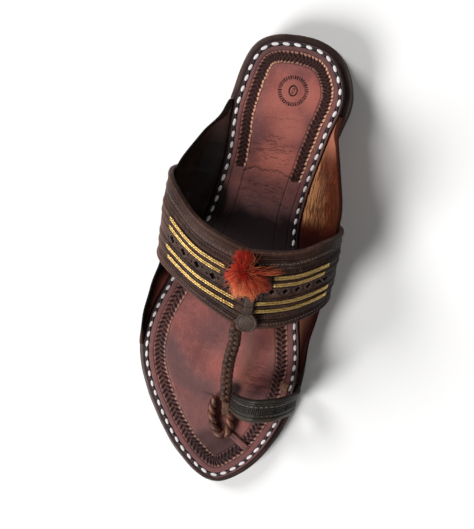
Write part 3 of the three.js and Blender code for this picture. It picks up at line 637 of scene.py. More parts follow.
def metalFinish(name, colour, dark, rough):
    made = Finish(name)
    fine = made.noise(0.6, 3, 0.6)
    tone = made.blend(made.between(fine, 0.35, 0.65), dark, colour)
    normal = made.emboss(fine, 0.05)
    return made.finish({"Base Color": tone, "Roughness": rough, "Normal": normal, "Metallic": 0.85})


# insole: stamped border between two scored lines, heel stamp, creases, worn and dark places
insole = {
    "rows": 536,
    "sideColumns": 43,
    "middleColumns": 84,
    "sideZone": 15.5,  # width of the finely divided strip along each edge
    "edgeRound": 0.9,
    "edge": [  # its cut edge: how far out and how far down
        (0.35, 0.02), (0.62, 0.065), (0.83, 0.14), (0.9, 0.24), (0.9, 0.72), (0.75, 0.9), (0.3, 1),
    ],
    "scored": {"toe": (4.2, 11.9), "heel": (3.4, 10.5)},  # two lines, this far inside the stitch line
    "scoredWidth": 0.42,
    "scoredDepth": 0.32,
    "stampPitch": {"toe": 3.27, "heel": 2.57},
    "stampDepth": 0.5,
    "stampChange": 20,  # behind here the heel's stamps begin
    "heelStart": {outer: 58.7, inner: 55.5},  # where the heel's stamped border ends
    "toeEnd": {outer: -3.0, inner: -12.0},
    "heelStamp": {
        "place": (6.9, 106.1), "radius": 7.5, "dash": 2.3, "dashes": 38, "depth": 0.5,
        "oval": 2.75, "slot": 1.45, "tilt": (0.966, 0.259),  # half heights, and the slot's cosine and sine
    },
    "stainsAndShadows": [  # darker patches, stains and painted shadow under the band and round the toe ring: across, along, half width, half length, how dark
        (-6, 50, 26, 12, 0.3), (-20, -96, 20, 20, 0.42), (-15, -44, 12, 16, 0.36), (-4, -114, 28, 20, 0.85),
        (27, -66, 12, 28, 0.45), (16, -82, 20, 14, 0.6), (7, -50, 7, 20, 0.35), (2, -75, 7, 7, 0.9),
        (-27, 34, 13, 25, 1.1), (27, 28, 9, 16, 0.8), (2, 124, 28, 9, 0.3),
    ],
    "smudgesAndShadows": [  # stains, and painted shadow along the outer waist, that follow a line: its points, how far they reach, how dark
        ([(-43, -56), (-36, -69), (-27, -77), (-14, -82)], 11, 0.66),
        ([(-24, 20), (-28, 44), (-24, 58)], 11, 0.7),
        ([(14, 100), (19, 88), (17, 70)], 3.5, 0.2),
        ([(-12, 108), (-10, 84), (-9, 66)], 5, 0.3),
    ],
    "shade": (65, 20, -20, 0),  # painted shadow under the band: where it begins, is full, ends and is full again
    "dyeAndShade": {  # how dark each zone is, from dye, and from painted shade along the stitches and under the band: inner front, outer front, heel, or front and heel
        "edge": (0.78, 1.02, 1.18), "rim": (0.34, 0.7), "border": (0.28, 0.45), "toeBorder": 0.2,
        "stitches": 1.12, "shade": 1.12,
    },
    "blushesAndHighlights": [  # the same, for lighter places: rubbed leather and painted highlight on the pads
        (-14, -60, 9, 12, 0.25), (2, 100, 13, 18, 0.5), (6, -72, 8, 14, 0.2), (22, -88, 8, 10, 0.2),
        (4, 66, 16, 13, 0.9), (7, 86, 12, 14, 0.55), (17, 104, 7, 12, 0.6), (-7, 96, 8, 10, 0.3),
    ],
    "tanned": [  # and for browner ones
        (26, 62, 4.5, 34, 0.85), (30, 84, 5, 14, 0.5), (7, -58, 5, 17, 0.42), (3, -78, 7, 6, 0.25),
        (24, -42, 6, 16, 0.35),
    ],
    "creases": [  # across and along points, depth, half width of the furrow
        ([(-5, 77.6), (-1.5, 76.4), (1, 76.9), (3.5, 74.9), (7.5, 73.9)], 0.3, 1.0),
        ([(-3, 74.6), (0, 73.6), (4, 73.9)], 0.16, 0.7),
        ([(-13.5, 57.7), (-10, 59.2), (-6, 60.8), (-3, 59.6), (1, 59.9), (7, 60.4), (11, 58.6), (16, 57.9)],
         0.36, 1.0),
        ([(-8, 63.6), (-4, 64.6), (-1, 63.8)], 0.14, 0.7),
        ([(-14, 46.5), (-10, 47.8), (-6, 47.1), (-2, 45.2), (2, 44.3), (9, 42.6), (15, 40)], 0.22, 1.0),
        ([(-10, 36), (-4, 38.3), (0, 37.6), (8, 34), (16, 33)], 0.18, 0.9),
        ([(-16.5, -81.5), (-12, -82), (-8, -83.4), (-3, -85.2), (0.5, -88.2)], 0.26, 1.0),
        ([(7.5, -58), (10, -59.3), (13, -59.1), (19, -59.4)], 0.2, 0.8),
        ([(9, -66.6), (12, -67.8), (15, -67.4), (23, -66)], 0.24, 0.9),
        ([(8, -70), (11, -71.5), (14, -71.2), (22, -70.4)], 0.26, 0.9),
        ([(9, -74), (12, -75.2), (15, -74.8), (21, -73.8)], 0.22, 0.8),
        ([(11, -62.7), (15, -63.5), (20, -62.9)], 0.16, 0.7),
        ([(-15, -45), (-12, -44.1), (-9, -44.6), (-3, -46)], 0.14, 0.8),
        ([(-8, 88.6), (-3, 90), (2, 89.1), (5, 89.8)], 0.12, 0.8),
        ([(3, 84.4), (8, 85.6), (13, 86.2)], 0.1, 0.8),
        ([(-9, 69.4), (-4, 70.6), (0, 69.5), (5, 70.2)], 0.14, 0.8),
        ([(-6, 66.7), (1, 67.9), (9, 66.9)], 0.12, 0.7),
    ],
    "wrinkled": [  # places with a fine net of wrinkles: across, along, half width, half length, how much
        (2, 72, 16, 12, 1.0), (0, 48, 18, 16, 0.8), (15, -67, 10, 14, 0.9), (-8, -83, 12, 5, 0.6),
        (-14, -46, 12, 10, 0.3), (4, 90, 14, 6, 0.4),
    ],
}


def distanceToLine(points, line):
    best = np.full(len(points), 1e9)
    path = smoothCurve(line, 60)[0]
    for a, b in zip(path[:-1], path[1:]):
        t = np.clip(((points - a) @ (b - a)) / max(1e-9, (b - a) @ (b - a)), 0, 1)[:, None]
        best = np.minimum(best, np.linalg.norm(points - a - t * (b - a), axis=1))
    return best


def scoredDepths(along):  # how far inside the stitches the two scored lines run
    share = smooth(along / 60)
    return [lerp(toe, heel, share) for toe, heel in zip(insole["scored"]["toe"], insole["scored"]["heel"])]


def stampedBorder(depth, run, points, side):  # how far the border is pressed, and its raised teeth
    low, high = scoredDepths(points[:, 1])
    atHeel = points[:, 1] > insole["stampChange"]
    pitch = np.where(atHeel, insole["stampPitch"]["heel"], insole["stampPitch"]["toe"])
    wander = 0.02 * np.sin(run * 0.9) + 0.015 * np.sin(run * 0.37 + 1)
    across = (depth - low) / (high - low) + wander
    fromMiddle = np.abs(across - 0.5) * 2
    phase = run / pitch + 0.5 * smooth((across - 0.46) / 0.08) + 0.04 * np.sin(run * 1.7)
    stroke = zigzag(phase - 0.72 * (1 - fromMiddle))
    narrow = lerp(0.42, 0.8, smooth((fromMiddle - 0.55) / 0.4)) + 0.16 * smooth(1 - fromMiddle / 0.3)
    cut = smooth((stroke - narrow) / 0.24 + 0.5)
    inside = smooth((0.93 - fromMiddle) / 0.1)
    middle = smooth((0.74 - fromMiddle) / 0.16)
    start, end = (np.where(side > 0, insole[k][inner], insole[k][outer]) for k in ("heelStart", "toeEnd"))
    along = points[:, 1] + 0.7 * (fromMiddle**2) * np.where(atHeel, -1, 1)
    shown = smooth((along - start) / 0.8) + smooth((end - along) / 0.8)
    pressed = np.maximum(cut, lerp(0.5, 0.76, atHeel) * middle) * inside * shown
    teeth = smooth((fromMiddle - 0.56) / 0.16) * smooth((0.95 - fromMiddle) / 0.07) * (1 - cut) ** 2
    return pressed, teeth * shown, across


def patchesOn(points, places, reach=1.2):  # the strongest of several soft oval patches
    x, y = points.T
    found = np.zeros(len(points))
    for across, along, wide, long, much in places:
        away = np.hypot((x - across) / wide, (y - along) / long)
        away = away + 0.06 * np.sin(x * 0.25 + along) * np.sin(y * 0.2 + across)
        found = np.maximum(found, much * smooth(reach - away))
    return found


def heelStampOn(points):  # ring of radial dashes round an upright oval with a leaning slot
    stamp = insole["heelStamp"]
    away = points - np.array(stamp["place"])
    radius, angle = np.hypot(away[:, 0], away[:, 1]), np.arctan2(away[:, 1], away[:, 0])
    turn = angle / (2 * math.pi) * stamp["dashes"]
    dash = smooth((zigzag(turn) - 0.26) / 0.22) * (0.85 + 0.15 * np.sin(turn * 2.3))
    ring = smooth((0.5 * stamp["dash"] - np.abs(radius - stamp["radius"])) / 0.3 + 0.3) * dash
    c, s = stamp["tilt"]
    tipped = away @ np.array([[c, s], [-s, c]])
    oval, slot = np.hypot(away[:, 0] / 0.8, away[:, 1]), np.hypot(tipped[:, 0] / 0.42, tipped[:, 1])
    ring = np.maximum(ring, smooth(1.5 - np.abs(oval - stamp["oval"]) / 0.42))
    ring = np.maximum(ring, smooth(1.5 - np.abs(slot - stamp["slot"]) / 0.36))
    return ring, smooth((3.2 - oval) / 0.5), bump(oval, 3.6, 0.5)


def creasesOn(points):  # depth and darkness of the listed furrows
    x, y = points.T
    shake = 0.3 * np.sin(y * 1.7), 0.26 * np.sin(x * 1.9) + 0.14 * np.sin(x * 4.3)
    shaken = points + np.stack(shake, axis=1)
    depth, dark = np.zeros(len(points)), np.zeros(len(points))
    deepest = max(deep for line, deep, wide in insole["creases"])
    for line, deep, wide in insole["creases"]:
        away = distanceToLine(shaken, line)
        near = 0.45 * smooth(1 - away / wide) + 0.55 * smooth(1 - away / (0.45 * wide))
        depth += deep * near
        dark = np.maximum(dark, near * deep / deepest)
    return depth, dark


def stainAndShadeOn(points, depth, side):  # how dark the dye and the painted shade are: the strongest of its zones
    x, y = points.T
    low, high = scoredDepths(y)
    dyeAndShade, heel = insole["dyeAndShade"], smooth((y - 96) / 26)
    front = np.where(side > 0, dyeAndShade["edge"][0], dyeAndShade["edge"][1])
    edge = lerp(front, dyeAndShade["edge"][2], heel) - 0.3 * smooth((x - 5) / 15) * smooth((-85 - y) / 15)
    border = lerp(dyeAndShade["border"][0] + dyeAndShade["toeBorder"] * smooth((-80 - y) / 20), dyeAndShade["border"][1], heel)
    begins, full, ends, fullAgain = insole["shade"]
    at = y + 1.5 * np.sin(x * 0.13 + 1) + 0.7 * np.sin(x * 0.47 + y * 0.3)
    zones = [
        edge * smooth((-0.8 - depth) / 0.8),
        # painted shade in the dip along the stitches
        dyeAndShade["stitches"] * smooth(1.6 - np.abs(depth) / 1.05),
        lerp(*dyeAndShade["rim"], heel) * smooth((depth - 0.4) / 0.8) * smooth((low + 0.3 - depth) / 0.4),
        border * smooth((depth - low) / 0.3) * smooth((high - depth) / 0.3),
        # painted shadow under the band
        dyeAndShade["shade"] * smooth((begins - at) / (begins - full)) * smooth((at - ends) / (fullAgain - ends)),
        patchesOn(points, insole["stainsAndShadows"], 1.25),
    ]
    for line, reach, much in insole["smudgesAndShadows"]:
        away = distanceToLine(points, line) / reach + 0.14 * np.sin(x * 0.31 + y * 0.17) * np.sin(y * 0.27)
        zones.append(much * smooth(1.15 - away))
    return np.maximum.reduce(zones)


def insoleRelief(points):  # height, and the marks its finish reads
    x, y = points.T
    depth, run, out = inset(points)
    side = np.where(x > lerp(-2, 3, smooth((y + 80) / 160)), 1, -1)
    pressed, teeth, across = stampedBorder(depth, run, points, side)
    lines = np.zeros(len(points))
    for at in scoredDepths(y):
        waver = 0.1 * np.sin(run * 0.21 + at) + 0.06 * np.sin(run * 0.83)
        lines = np.maximum(lines, bump(depth, at + waver, insole["scoredWidth"]))
    ring, sunk, rim = heelStampOn(points)
    furrow, creases = creasesOn(points)
    height = 0.1 * np.sin(x * 0.11 + y * 0.07) * np.sin(y * 0.13)
    height += 0.18 * bump(depth, -1.6, 1.6)
    height -= 0.3 * bump(depth, 0.0, 2.0)  # the stitches draw the leather down
    height -= insole["stampDepth"] * pressed + insole["scoredDepth"] * lines + furrow
    height -= insole["heelStamp"]["depth"] * ring + 0.2 * sunk - 0.12 * rim
    stainAndShade = stainAndShadeOn(points, depth, side)
    # painted highlight on the wall of each tooth that faces the lamp; the other walls keep a little of the
    # teeth's paler tone
    lit = smooth(0.3 + 0.9 * np.where(across < 0.5, out[:, 0], -out[:, 0]))
    tan = patchesOn(points, insole["tanned"]) * (1 - np.clip(stainAndShade - 0.5, 0, 0.5) * 2)
    return height, {
        "pressed": np.clip(1.02 * pressed + 0.85 * lines + 1.1 * ring + 0.7 * creases, 0, 0.97),
        "stainAndShade": stainAndShade,
        "blushAndHighlight": patchesOn(points, insole["blushesAndHighlights"]) * (1 - np.clip(stainAndShade, 0, 1)),
        "wornAndLit": np.clip(teeth * lerp(0.12, 1.0, lit) * lerp(0.34, 1, smooth((y + 10) / 60)), 0, 1),
        "tan": np.where((depth > -0.6) & (y > insole["stampChange"]), 0.25 * tan, tan),
        "wrinkled": patchesOn(points, insole["wrinkled"]) * (depth > scoredDepths(y)[1]),
    }


def chordRows(count, margin, start=None, spacing=0.45):  # closer together at toe and heel
    chain = outlineChains(margin)
    low = chain["toe"] if start is None else start
    even = np.linspace(0, 1, count)
    bunched = np.sin(even * math.pi / 2) if start is not None else (1 - np.cos(even * math.pi)) / 2
    alongs = lerp(low, chain["heel"], (1 - spacing) * even + spacing * bunched)
    return alongs[1:-1] if start is None else alongs[:-1]


def spreadAcross(width, sides, middle, zone):  # shares across a row, finely divided along its edges
    strip = np.minimum(zone / width, 0.42)[:, None]
    edgeShare, middleShare = np.linspace(0, 1, sides + 1), np.linspace(0, 1, middle + 1)[1:-1]
    parts = [strip * edgeShare, strip + (1 - 2 * strip) * middleShare, 1 - strip * edgeShare[::-1]]
    return np.concatenate(parts, axis=1)


def layerTop(alongs, margin, division, breast):  # its places seen from above, faces and outline
    left, right = edgeAcross(outer, alongs, margin), edgeAcross(inner, alongs, margin)
    acrossRows = left[:, None] + (right - left)[:, None] * spreadAcross(right - left, *division)
    rows, columns = acrossRows.shape
    chain, tips = outlineChains(margin), []
    if not breast:
        tips.append((chain[inner][0, 0], chain["toe"]))
    tips.append((chain[inner][-1, 0], chain["heel"]))
    flat = np.concatenate([joined(acrossRows, alongs[:, None], 0.0)[..., :2].reshape(-1, 2), tips])
    grid, heelTip = np.arange(rows * columns).reshape(rows, columns), len(flat) - 1
    faces = list(gridFaces(rows, columns))
    faces += [(grid[-1, j], grid[-1, j + 1], heelTip) for j in range(columns - 1)]
    loop = [*grid[:, -1], heelTip, *grid[::-1, 0]]
    if breast:
        loop += list(grid[0, 1:-1])
    else:
        toeTip = rows * columns
        faces += [(grid[0, j + 1], grid[0, j], toeTip) for j in range(columns - 1)]
        loop.append(toeTip)
    return flat, faces, np.array(loop), columns


def layerUnderside(last, rows, breast):  # joins the two long edges of the lowest ring
    under, across = last[:rows], last[rows + 1 : 2 * rows + 1][::-1]
    strip = list(np.stack([under[:-1], across[:-1], across[1:], under[1:]], axis=1))
    heelEnd = under[-1], across[-1], last[rows]
    if not breast:
        return strip + [heelEnd, (across[0], under[0], last[-1])]
    frontEnd = [under[1], under[0], *last[2 * rows + 1 :][::-1], across[0], across[1]]
    return strip[1:] + [heelEnd, frontEnd]


# one layer of the sole: its top, its cut edge and its underside
def makeLayer(name, alongs, margin, division, topOf, profile, floorOf, material, slot, stands, breast=False):
    flat, faces, loop, columns = layerTop(alongs, margin, division, breast)
    heights, marks = topOf(flat)
    points = [np.column_stack([flat, heights])]
    edge = points[0][loop]
    nearest = np.array([stitchTree.find((x, y, 0))[1] for x, y, _ in edge])
    outward = stitchOut[nearest].copy()
    if breast:
        outward[-(columns - 2):] = (0, -1)
        outward[0], outward[-(columns - 1)] = (0.7, -0.7), (-0.7, -0.7)
    floor, run = floorOf(edge[:, 1]), stitchRun[nearest]
    last, count = loop, len(flat)
    for out, share in profile:
        ring = edge.copy()
        uneven = sole["uneven"] * np.sin(run * 0.31 + share * 5) * np.sin(run * 0.083) * (out > 0)
        ring[:, :2] += outward * (out + uneven)[:, None]
        ring[:, 2] = lerp(edge[:, 2], floor, share)
        index = count + np.arange(len(ring))
        faces += list(np.stack([np.roll(last, -1), last, index, np.roll(index, -1)], axis=1))
        points.append(ring)
        last, count = index, count + len(ring)
    faces += layerUnderside(last, len(alongs), breast)
    points = np.concatenate(points)
    onEdge = {"stainAndShade": 1.0}  # the cut edge is dyed dark
    for mark, values in marks.items():
        rest = np.full(len(points) - len(values), onEdge.get(mark, 0.0))
        marks[mark] = np.concatenate([values, rest])
    makePiece(name, points, faces, material, slot, stands, marks)


def makeInsole(material):
    margin = sole["insoleMargin"] - insole["edgeRound"]

    def top(flat):
        relief, marks = insoleRelief(flat)
        return insoleTop(flat[:, 1]) + relief, marks

    makeLayer(
        "insole_top_leather", chordRows(insole["rows"], margin), margin,
        (insole["sideColumns"], insole["middleColumns"], insole["sideZone"]),
        top, insole["edge"], lambda y: outsoleTop(y) + gap, material, "insole_leather", ["insole"],
    )


# outsole and heel lifts
outsole = {
    "rows": 420,
    "columns": (10, 6, 14.0),  # along each side, in the middle, and how wide each side's strip is
    "edgeRound": 0.8,
    "rabbet": 2.3,  # a step for the ears' and the ring's ends, and how far in it reaches
    "rabbetInside": 7.3,
    "ringFront": -79.0,
    "edge": [  # its cut edge with a groove round it: how far out and how far down
        (0.35, 0.015), (0.62, 0.045), (0.8, 0.1), (0.8, 0.3), (0.62, 0.36), (0.8, 0.42), (0.85, 0.6),
        (0.65, 0.66), (0.8, 0.72), (0.75, 0.9), (0.4, 0.975), (0, 1),
    ],
}
lift = {
    "rows": 150,
    "columns": (3, 6, 8.0),
    "edgeRound": 0.7,
    "edge": [(0.45, 0.03), (0.7, 0.14), (0.72, 0.5), (0.7, 0.86), (0.4, 0.97), (0, 1)],
}


def outsoleTopOf(flat):
    depth = inset(flat)[0]
    onInner = flat[:, 0] > 0
    low = np.where(onInner, outsole["ringFront"], ear["edge"][outer][0][0])
    high = np.where(onInner, ear["edge"][inner][-1][0], ear["edge"][outer][-1][0])
    cut = smooth((flat[:, 1] - low + 1) / 2) * smooth((high + 1 - flat[:, 1]) / 2)
    height = outsoleTop(flat[:, 1]) - outsole["rabbet"] * cut * (depth < outsole["rabbetInside"])
    return height, {"pressed": smooth((depth + 3.4) / 1.2)}


def makeOutsole(material):
    margin = sole["outsoleMargin"] - outsole["edgeRound"]
    makeLayer(
        "outsole_leather", chordRows(outsole["rows"], margin), margin, outsole["columns"],
        outsoleTopOf, outsole["edge"], soleRise, material, "sole_leather", ["outsole"],
    )


def makeLifts(material):
    thickness = (sole["heelRise"] - sole["lifts"] * gap) / sole["lifts"]
    for index in range(sole["lifts"]):
        low = index * (thickness + gap)
        margin = sole["outsoleMargin"] + sole["liftFlare"] * (sole["lifts"] - 1 - index) - lift["edgeRound"]
        alongs = chordRows(lift["rows"], margin, sole["heelBreast"] + lift["edgeRound"])
        makeLayer(
            f"heel_lift_{index + 1}_leather", alongs, margin, lift["columns"],
            lambda flat, high=low + thickness: (np.full(len(flat), high), {}),
            lift["edge"], lambda y, low=low: np.full(len(y), low),
            material, "sole_leather", [f"heel_lift_{index + 1}"], breast=True,
        )


# stitches round the insole: white pads with black thread crossing between them
stitches = {
    "pairs": 94,
    "white": {"size": (3.85, 1.85, 0.72), "plies": 0.02, "turn": -0.12, "twist": 0.3},
    "black": {"size": (3.9, 1.2, 0.55), "plies": 0.12, "turn": 0.32, "twist": 2.2},
    "uneven": {"along": 0.2, "out": 0.12, "length": 0.08},
    "sunk": 0.1,
}


def stitchAt(run):  # place, heading and outward direction on the insole's surface
    at = (run % stitchLength) / stitchLength * len(stitchPlace)
    k = int(at) % len(stitchPlace)
    x, y = stitchPlace[k]
    slope = float(insoleTop(y + 0.5) - insoleTop(y - 0.5))
    ahead, out = (unit(np.array([way[0], way[1], slope * way[1]])) for way in (stitchAhead[k], stitchOut[k]))
    return np.array([x, y, float(insoleTop(y))]), ahead, out, np.cross(out, ahead)


def makeStitches(white, black):
    rng, uneven = random.Random(11), stitches["uneven"]
    pitch = stitchLength / stitches["pairs"]
    pads, threads = Shapes(), Shapes()
    for i in range(stitches["pairs"]):
        for shapes, half, look in ((pads, 0.0, stitches["white"]), (threads, 0.5, stitches["black"])):
            along = rng.uniform(-uneven["along"], uneven["along"])
            place, ahead, out, up = stitchAt((i + half) * pitch + along)
            place = place - up * stitches["sunk"] + out * rng.uniform(-uneven["out"], uneven["out"])
            length, width, height = look["size"]
            length *= rng.uniform(1 - uneven["length"], 1 + uneven["length"])
            size = (length, width, height)
            shape = padShape(place, ahead, out, up, size, look["plies"], look["turn"], look["twist"])
            shapes.add(*shape, tint=rng.random())
    pads.make("white_stitches", white, "insole_leather")
    threads.make("black_stitches", black, "insole_leather")


# finishes of the sole
soleLooks = {
    "insole": {
        "cloud": 26, "grain": 0.9, "pebbleDepth": 0.05, "fibre": (0.9, 0.09, 1), "streak": 0.4,
        "rough": (0.36, 0.54), "coat": 0.03, "coatRough": 0.25, "shine": 0.2, "mottle": 0.5,
        "stainAndShade": (0.022, 0.014, 0.015), "faint": (0.095, 0.066, 0.068), "blushAndHighlight": (0.47, 0.145, 0.108),
        "pressedColour": (0.012, 0.008, 0.007), "wornAndLitColour": (0.68, 0.34, 0.21),
        "wrinkles": (0.16, 0.85, 1), "tan": (0.33, 0.13, 0.062),
    },
    "edge": {
        "cloud": 14, "pebbleDepth": 0.05, "fibre": (0.1, 0.1, 1.6), "rough": (0.32, 0.5), "coat": 0.1,
    },
}
insoleColours = (0.16, 0.05, 0.048), (0.29, 0.086, 0.073), (0.37, 0.116, 0.09)
edgeColours = (0.03, 0.015, 0.012), (0.062, 0.03, 0.022), (0.13, 0.06, 0.04)
insoleFinish = leather("insoleLeather", insoleColours, soleLooks["insole"])
edgeFinish = leather("soleEdgeLeather", edgeColours, soleLooks["edge"])
whiteThread = threadFinish("whiteThread", (0.82, 0.8, 0.8), (0.55, 0.52, 0.52), 0.65)
blackThread = threadFinish("blackThread", (0.006, 0.006, 0.008), (0.016, 0.015, 0.018), 0.5)
makeInsole(insoleFinish)
makeOutsole(edgeFinish)
makeLifts(edgeFinish)
makeStitches(whiteThread, blackThread)
print("sole is made")


# ears: the two side flaps of the upper
ear.update({
    "steps": 210,
    "wallSteps": 34,
    "rimWidth": 1.6,  # burnished edge
    "rimTurns": (60, 30, 0, -30, -60),
    "endRound": 6.0,  # how soon each end reaches its height
    "ripple": 0.28,
    "hug": 0.25,  # the flap's foot stands this far off the insole
    "creases": {  # along at the sole, along at the edge, share of the climb where it starts, depth
        outer: [(38, 44, 0.1, 0.25), (55, 50, 0.0, 0.3), (-14, -9, 0.2, 0.25), (72, 69, 0.1, 0.2)],
        inner: [
            (30, 40, 0.15, 0.25), (49, 46, 0.0, 0.3), (62, 57, 0.1, 0.25), (76, 70, 0.1, 0.2),
            (-20, -12, 0.2, 0.2),
        ],
    },
    "zones": {  # along where each begins, and how far it takes to be full (less than 0: to the toe)
        # toeward carries the band's painted shadow; frontward and heelward carry painted light, mixed with
        # the flap's own paler tone
        "heelward": (67, 20), "toeward": (39, -17), "frontward": (-8, -12), "ending": (-46, -12),
        "shineFrom": (30, 10), "shineTo": (106, -24),
    },
})


def climbAtHeight(side, along, height):  # share of the form's climb that reaches this far above the insole
    low, high = np.zeros_like(along), np.ones_like(along)
    wanted = insoleTop(along) + height
    for _ in range(26):
        mid = (low + high) / 2
        below = formPoint(side, mid, along)[..., 2] < wanted
        low, high = np.where(below, mid, low), np.where(below, high, mid)
    return (low + high) / 2


def earLine(side, along, rounded):  # the flap's middle, from its hidden flange up to its free edge
    top = climbAtHeight(side, along, readTable(ear["edge"][side], 1, along) * rounded)
    climb = np.linspace(0.004, 1, ear["wallSteps"]) ** 0.9
    wall = formPoint(side, top[:, None] * climb, along[:, None])
    base = edgeAcross(side, along, footForm["baseMargin"])[:, None]
    tip = edgeAcross(side, along, -ear["flange"])[:, None]
    floor = outsoleTop(along) - ear["thickness"] / 2
    flange = joined(lerp(tip, base, np.array([0, 0.5, 0.86])), along[:, None], floor[:, None])
    return np.concatenate([flange, wall], axis=1)


def overRim(values, onRim):  # values on the outer face, the rim and the inner face
    rim = np.full((ear["steps"], len(ear["rimTurns"])), onRim, float)
    return np.concatenate([values, rim, values[:, ::-1]], axis=1)


def earMarks(side, along, onOutside, fromRim, creased, climbed):
    zone = {name: smooth((along - begins) / reach)[:, None] for name, (begins, reach) in ear["zones"].items()}
    heelward, toeward, ending, leftEar = zone["heelward"], zone["toeward"], zone["ending"], side == outer
    burnt = 0.75 * smooth(ear["rimWidth"] - fromRim)
    shine = zone["shineFrom"] * zone["shineTo"] * smooth((climbed + 0.05) / 0.2)
    # lighter front end of the inner face: painted light on the outer flap, which faces away from the lamp;
    # the inner flap's own tan
    frontward = zone["frontward"] * (1 - smooth((climbed - 0.2) / 0.65))
    # painted shadow of the band over the flap's front part; darker toward the rim
    stainAndShade = 1.1 * toeward * (1 - 0.9 * frontward)
    stainAndShade = stainAndShade + 0.5 * smooth((climbed - 0.35) / 0.5) * (1 - 0.5 * heelward)
    # paler toward the heel, partly painted light where the inner face catches the lamp
    blushAndHighlight = 0.75 * heelward * (1 - burnt) + 0.7 * toeward * onOutside * leftEar
    folds = np.where(onOutside, 1.6, 0.4) * creased  # the inner face shows its folds less
    return {
        "pressed": np.clip(burnt + folds, 0, 1) * (1 - ending),
        "wornAndLit": np.where(onOutside, 0, frontward),
        "blushAndHighlight": np.clip(blushAndHighlight, ending * leftEar, 1),  # the front end fades into the sole's edge
        "stainAndShade": stainAndShade * np.where(onOutside, 0.15, 1),
        "sheen": shine * (1 - 0.95 * smooth((climbed - 0.14) / 0.36)) * (1 - toeward),
    }


def makeEar(side, name, material):
    rows = ear["edge"][side]
    along = lerp(rows[0][0], rows[-1][0], np.linspace(0, 1, ear["steps"]))
    fromEnd = np.minimum(along - along.min(), along.max() - along) / ear["endRound"]
    rounded = np.sqrt(np.clip(1 - (1 - np.clip(fromEnd, 0, 1)) ** 2, 0.03, 1))
    line = earLine(side, along, rounded)
    step = np.gradient(line, axis=1)
    out = unit(joined(step[..., 2], 0.0, -step[..., 0])) * side
    ahead = unit(step)
    faceSteps = line.shape[1]
    climbed = np.broadcast_to(np.clip((np.arange(faceSteps) - 2) / (faceSteps - 3), 0, 1), line.shape[:2])
    swell = ear["ripple"] * (np.sin(along * 0.19 + side) * np.sin(along * 0.07 + 2))[:, None] * climbed
    crease = np.zeros_like(swell)
    for low, high, start, deep in ear["creases"][side]:
        away = along[:, None] - lerp(low, high, climbed)
        onFace = smooth((climbed - start) / 0.2) * smooth((1 - climbed) / 0.1)
        crease += deep * np.exp(-((away / 0.9) ** 2)) * onFace
    line = line + out * (swell - crease)[..., None]
    half = ear["thickness"] / 2 * (1 - 0.12 * climbed**8) * lerp(0.3, 1, rounded)[:, None]
    outside, inside = line + out * half[..., None], line - out * half[..., None]
    hug = edgeAcross(side, along, sole["insoleMargin"] + ear["hug"])[:, None]
    near = smooth((inside[..., 2] - insoleTop(along)[:, None] + 0.6) / 8)
    inside[..., 0] = np.where(np.arange(faceSteps) < 3, inside[..., 0], lerp(hug, inside[..., 0], near))
    turn = np.radians(ear["rimTurns"])[:, None]
    bend = out[:, -1:] * np.sin(turn) + 0.7 * ahead[:, -1:] * np.cos(turn)
    rim = line[:, -1:] + half[:, -1:, None] * bend
    grid = np.concatenate([outside, rim, inside[:, ::-1]], axis=1)
    fromRim = overRim(np.linalg.norm(line - line[:, -1:], axis=2), 0)
    onOutside = np.arange(grid.shape[1]) < faceSteps
    marks = earMarks(side, along, onOutside, fromRim, overRim(crease, 0), overRim(climbed, 1))
    faces = tubeFaces(*grid.shape[:2], turned=side == inner)
    makePiece(name, grid, faces, material, "upper_leather", ["upper"], marks)


# instep band: rolled edges, embossed rows, gold cords, punched clovers, dashed stitches
band.update({
    "columns": 570,
    "rows": 138,
    "rowSpan": 47.5,  # width at the crown, rear edge to front edge
    "runShare": 0.55,  # the row on which distances from the crown are measured
    "bead": {"width": 0.055, "height": 0.55},
    "grooves": [  # share, width, depth
        (0.018, 0.2, 0.3), (0.038, 0.24, 0.35), (0.062, 0.32, 0.5), (0.088, 0.26, 0.4), (0.112, 0.22, 0.3),
        (0.182, 0.34, 0.45), (0.289, 0.34, 0.45), (0.368, 0.3, 0.35), (0.462, 0.34, 0.4), (0.612, 0.34, 0.4),
        (0.713, 0.3, 0.35), (0.815, 0.34, 0.4), (0.882, 0.32, 0.45), (0.912, 0.32, 0.45),
    ],
    "straight": (0.1, 0.87),  # grooves outside these shares run along the edges
    "ladder": {  # between which shares, bars this far apart; weave: how much the middle line breaks them
        "low": 0.2, "high": 0.276, "pitch": 1.1, "depth": 0.42, "soft": 0.35, "bars": 0.35, "middle": 0.35,
        "weave": 0.0,
    },
    "dots": {"share": 0.85, "pitch": 1.9, "radius": 0.42, "depth": 0.3},
    "goldRows": [  # share, then the cross values between which it runs on each side
        (0.32, (-0.414, -0.083), (0.11, 0.449)), (0.415, (-0.417, -0.101), (0.113, 0.42)),
        (0.66, (-0.446, -0.039), (0.039, 0.5)), (0.7675, (-0.426, -0.036), (0.042, 0.506)),
    ],
    "cord": {
        "radius": 0.58, "pitch": 1.7, "sides": 8, "groove": 0.3, "apart": 0.0125, "lift": 0.66,
        "spacing": 0.2, "waver": 0.05,
    },
    "clovers": [  # cross and share
        (-0.39, 0.565), (-0.3, 0.565), (-0.218, 0.565), (-0.137, 0.565),
        (0.11, 0.5), (0.18, 0.5), (0.25, 0.5), (0.32, 0.5), (0.39, 0.5), (0.455, 0.5),
    ],
    "clover": {"petal": 0.85, "reach": 1.15, "depth": 1.2, "innerSize": 0.82},
    "lozenge": {"aside": 3.7, "up": 0.9, "half": 0.95, "depth": 0.4},
    "stitchRows": [(0.145, 1.45, 2.05, 0.5), (0.945, 1.1, 1.75, 0.45)],  # share, length, pitch, width
    "stitchReach": 0.97,  # cross at which a row of stitches ends, and how far from there the first one is
    "firstStitch": 1.0,
})
dash = {"height": 0.42, "plies": 0.06, "twist": 0.6, "sunk": 0.05, "shortest": 0.9}


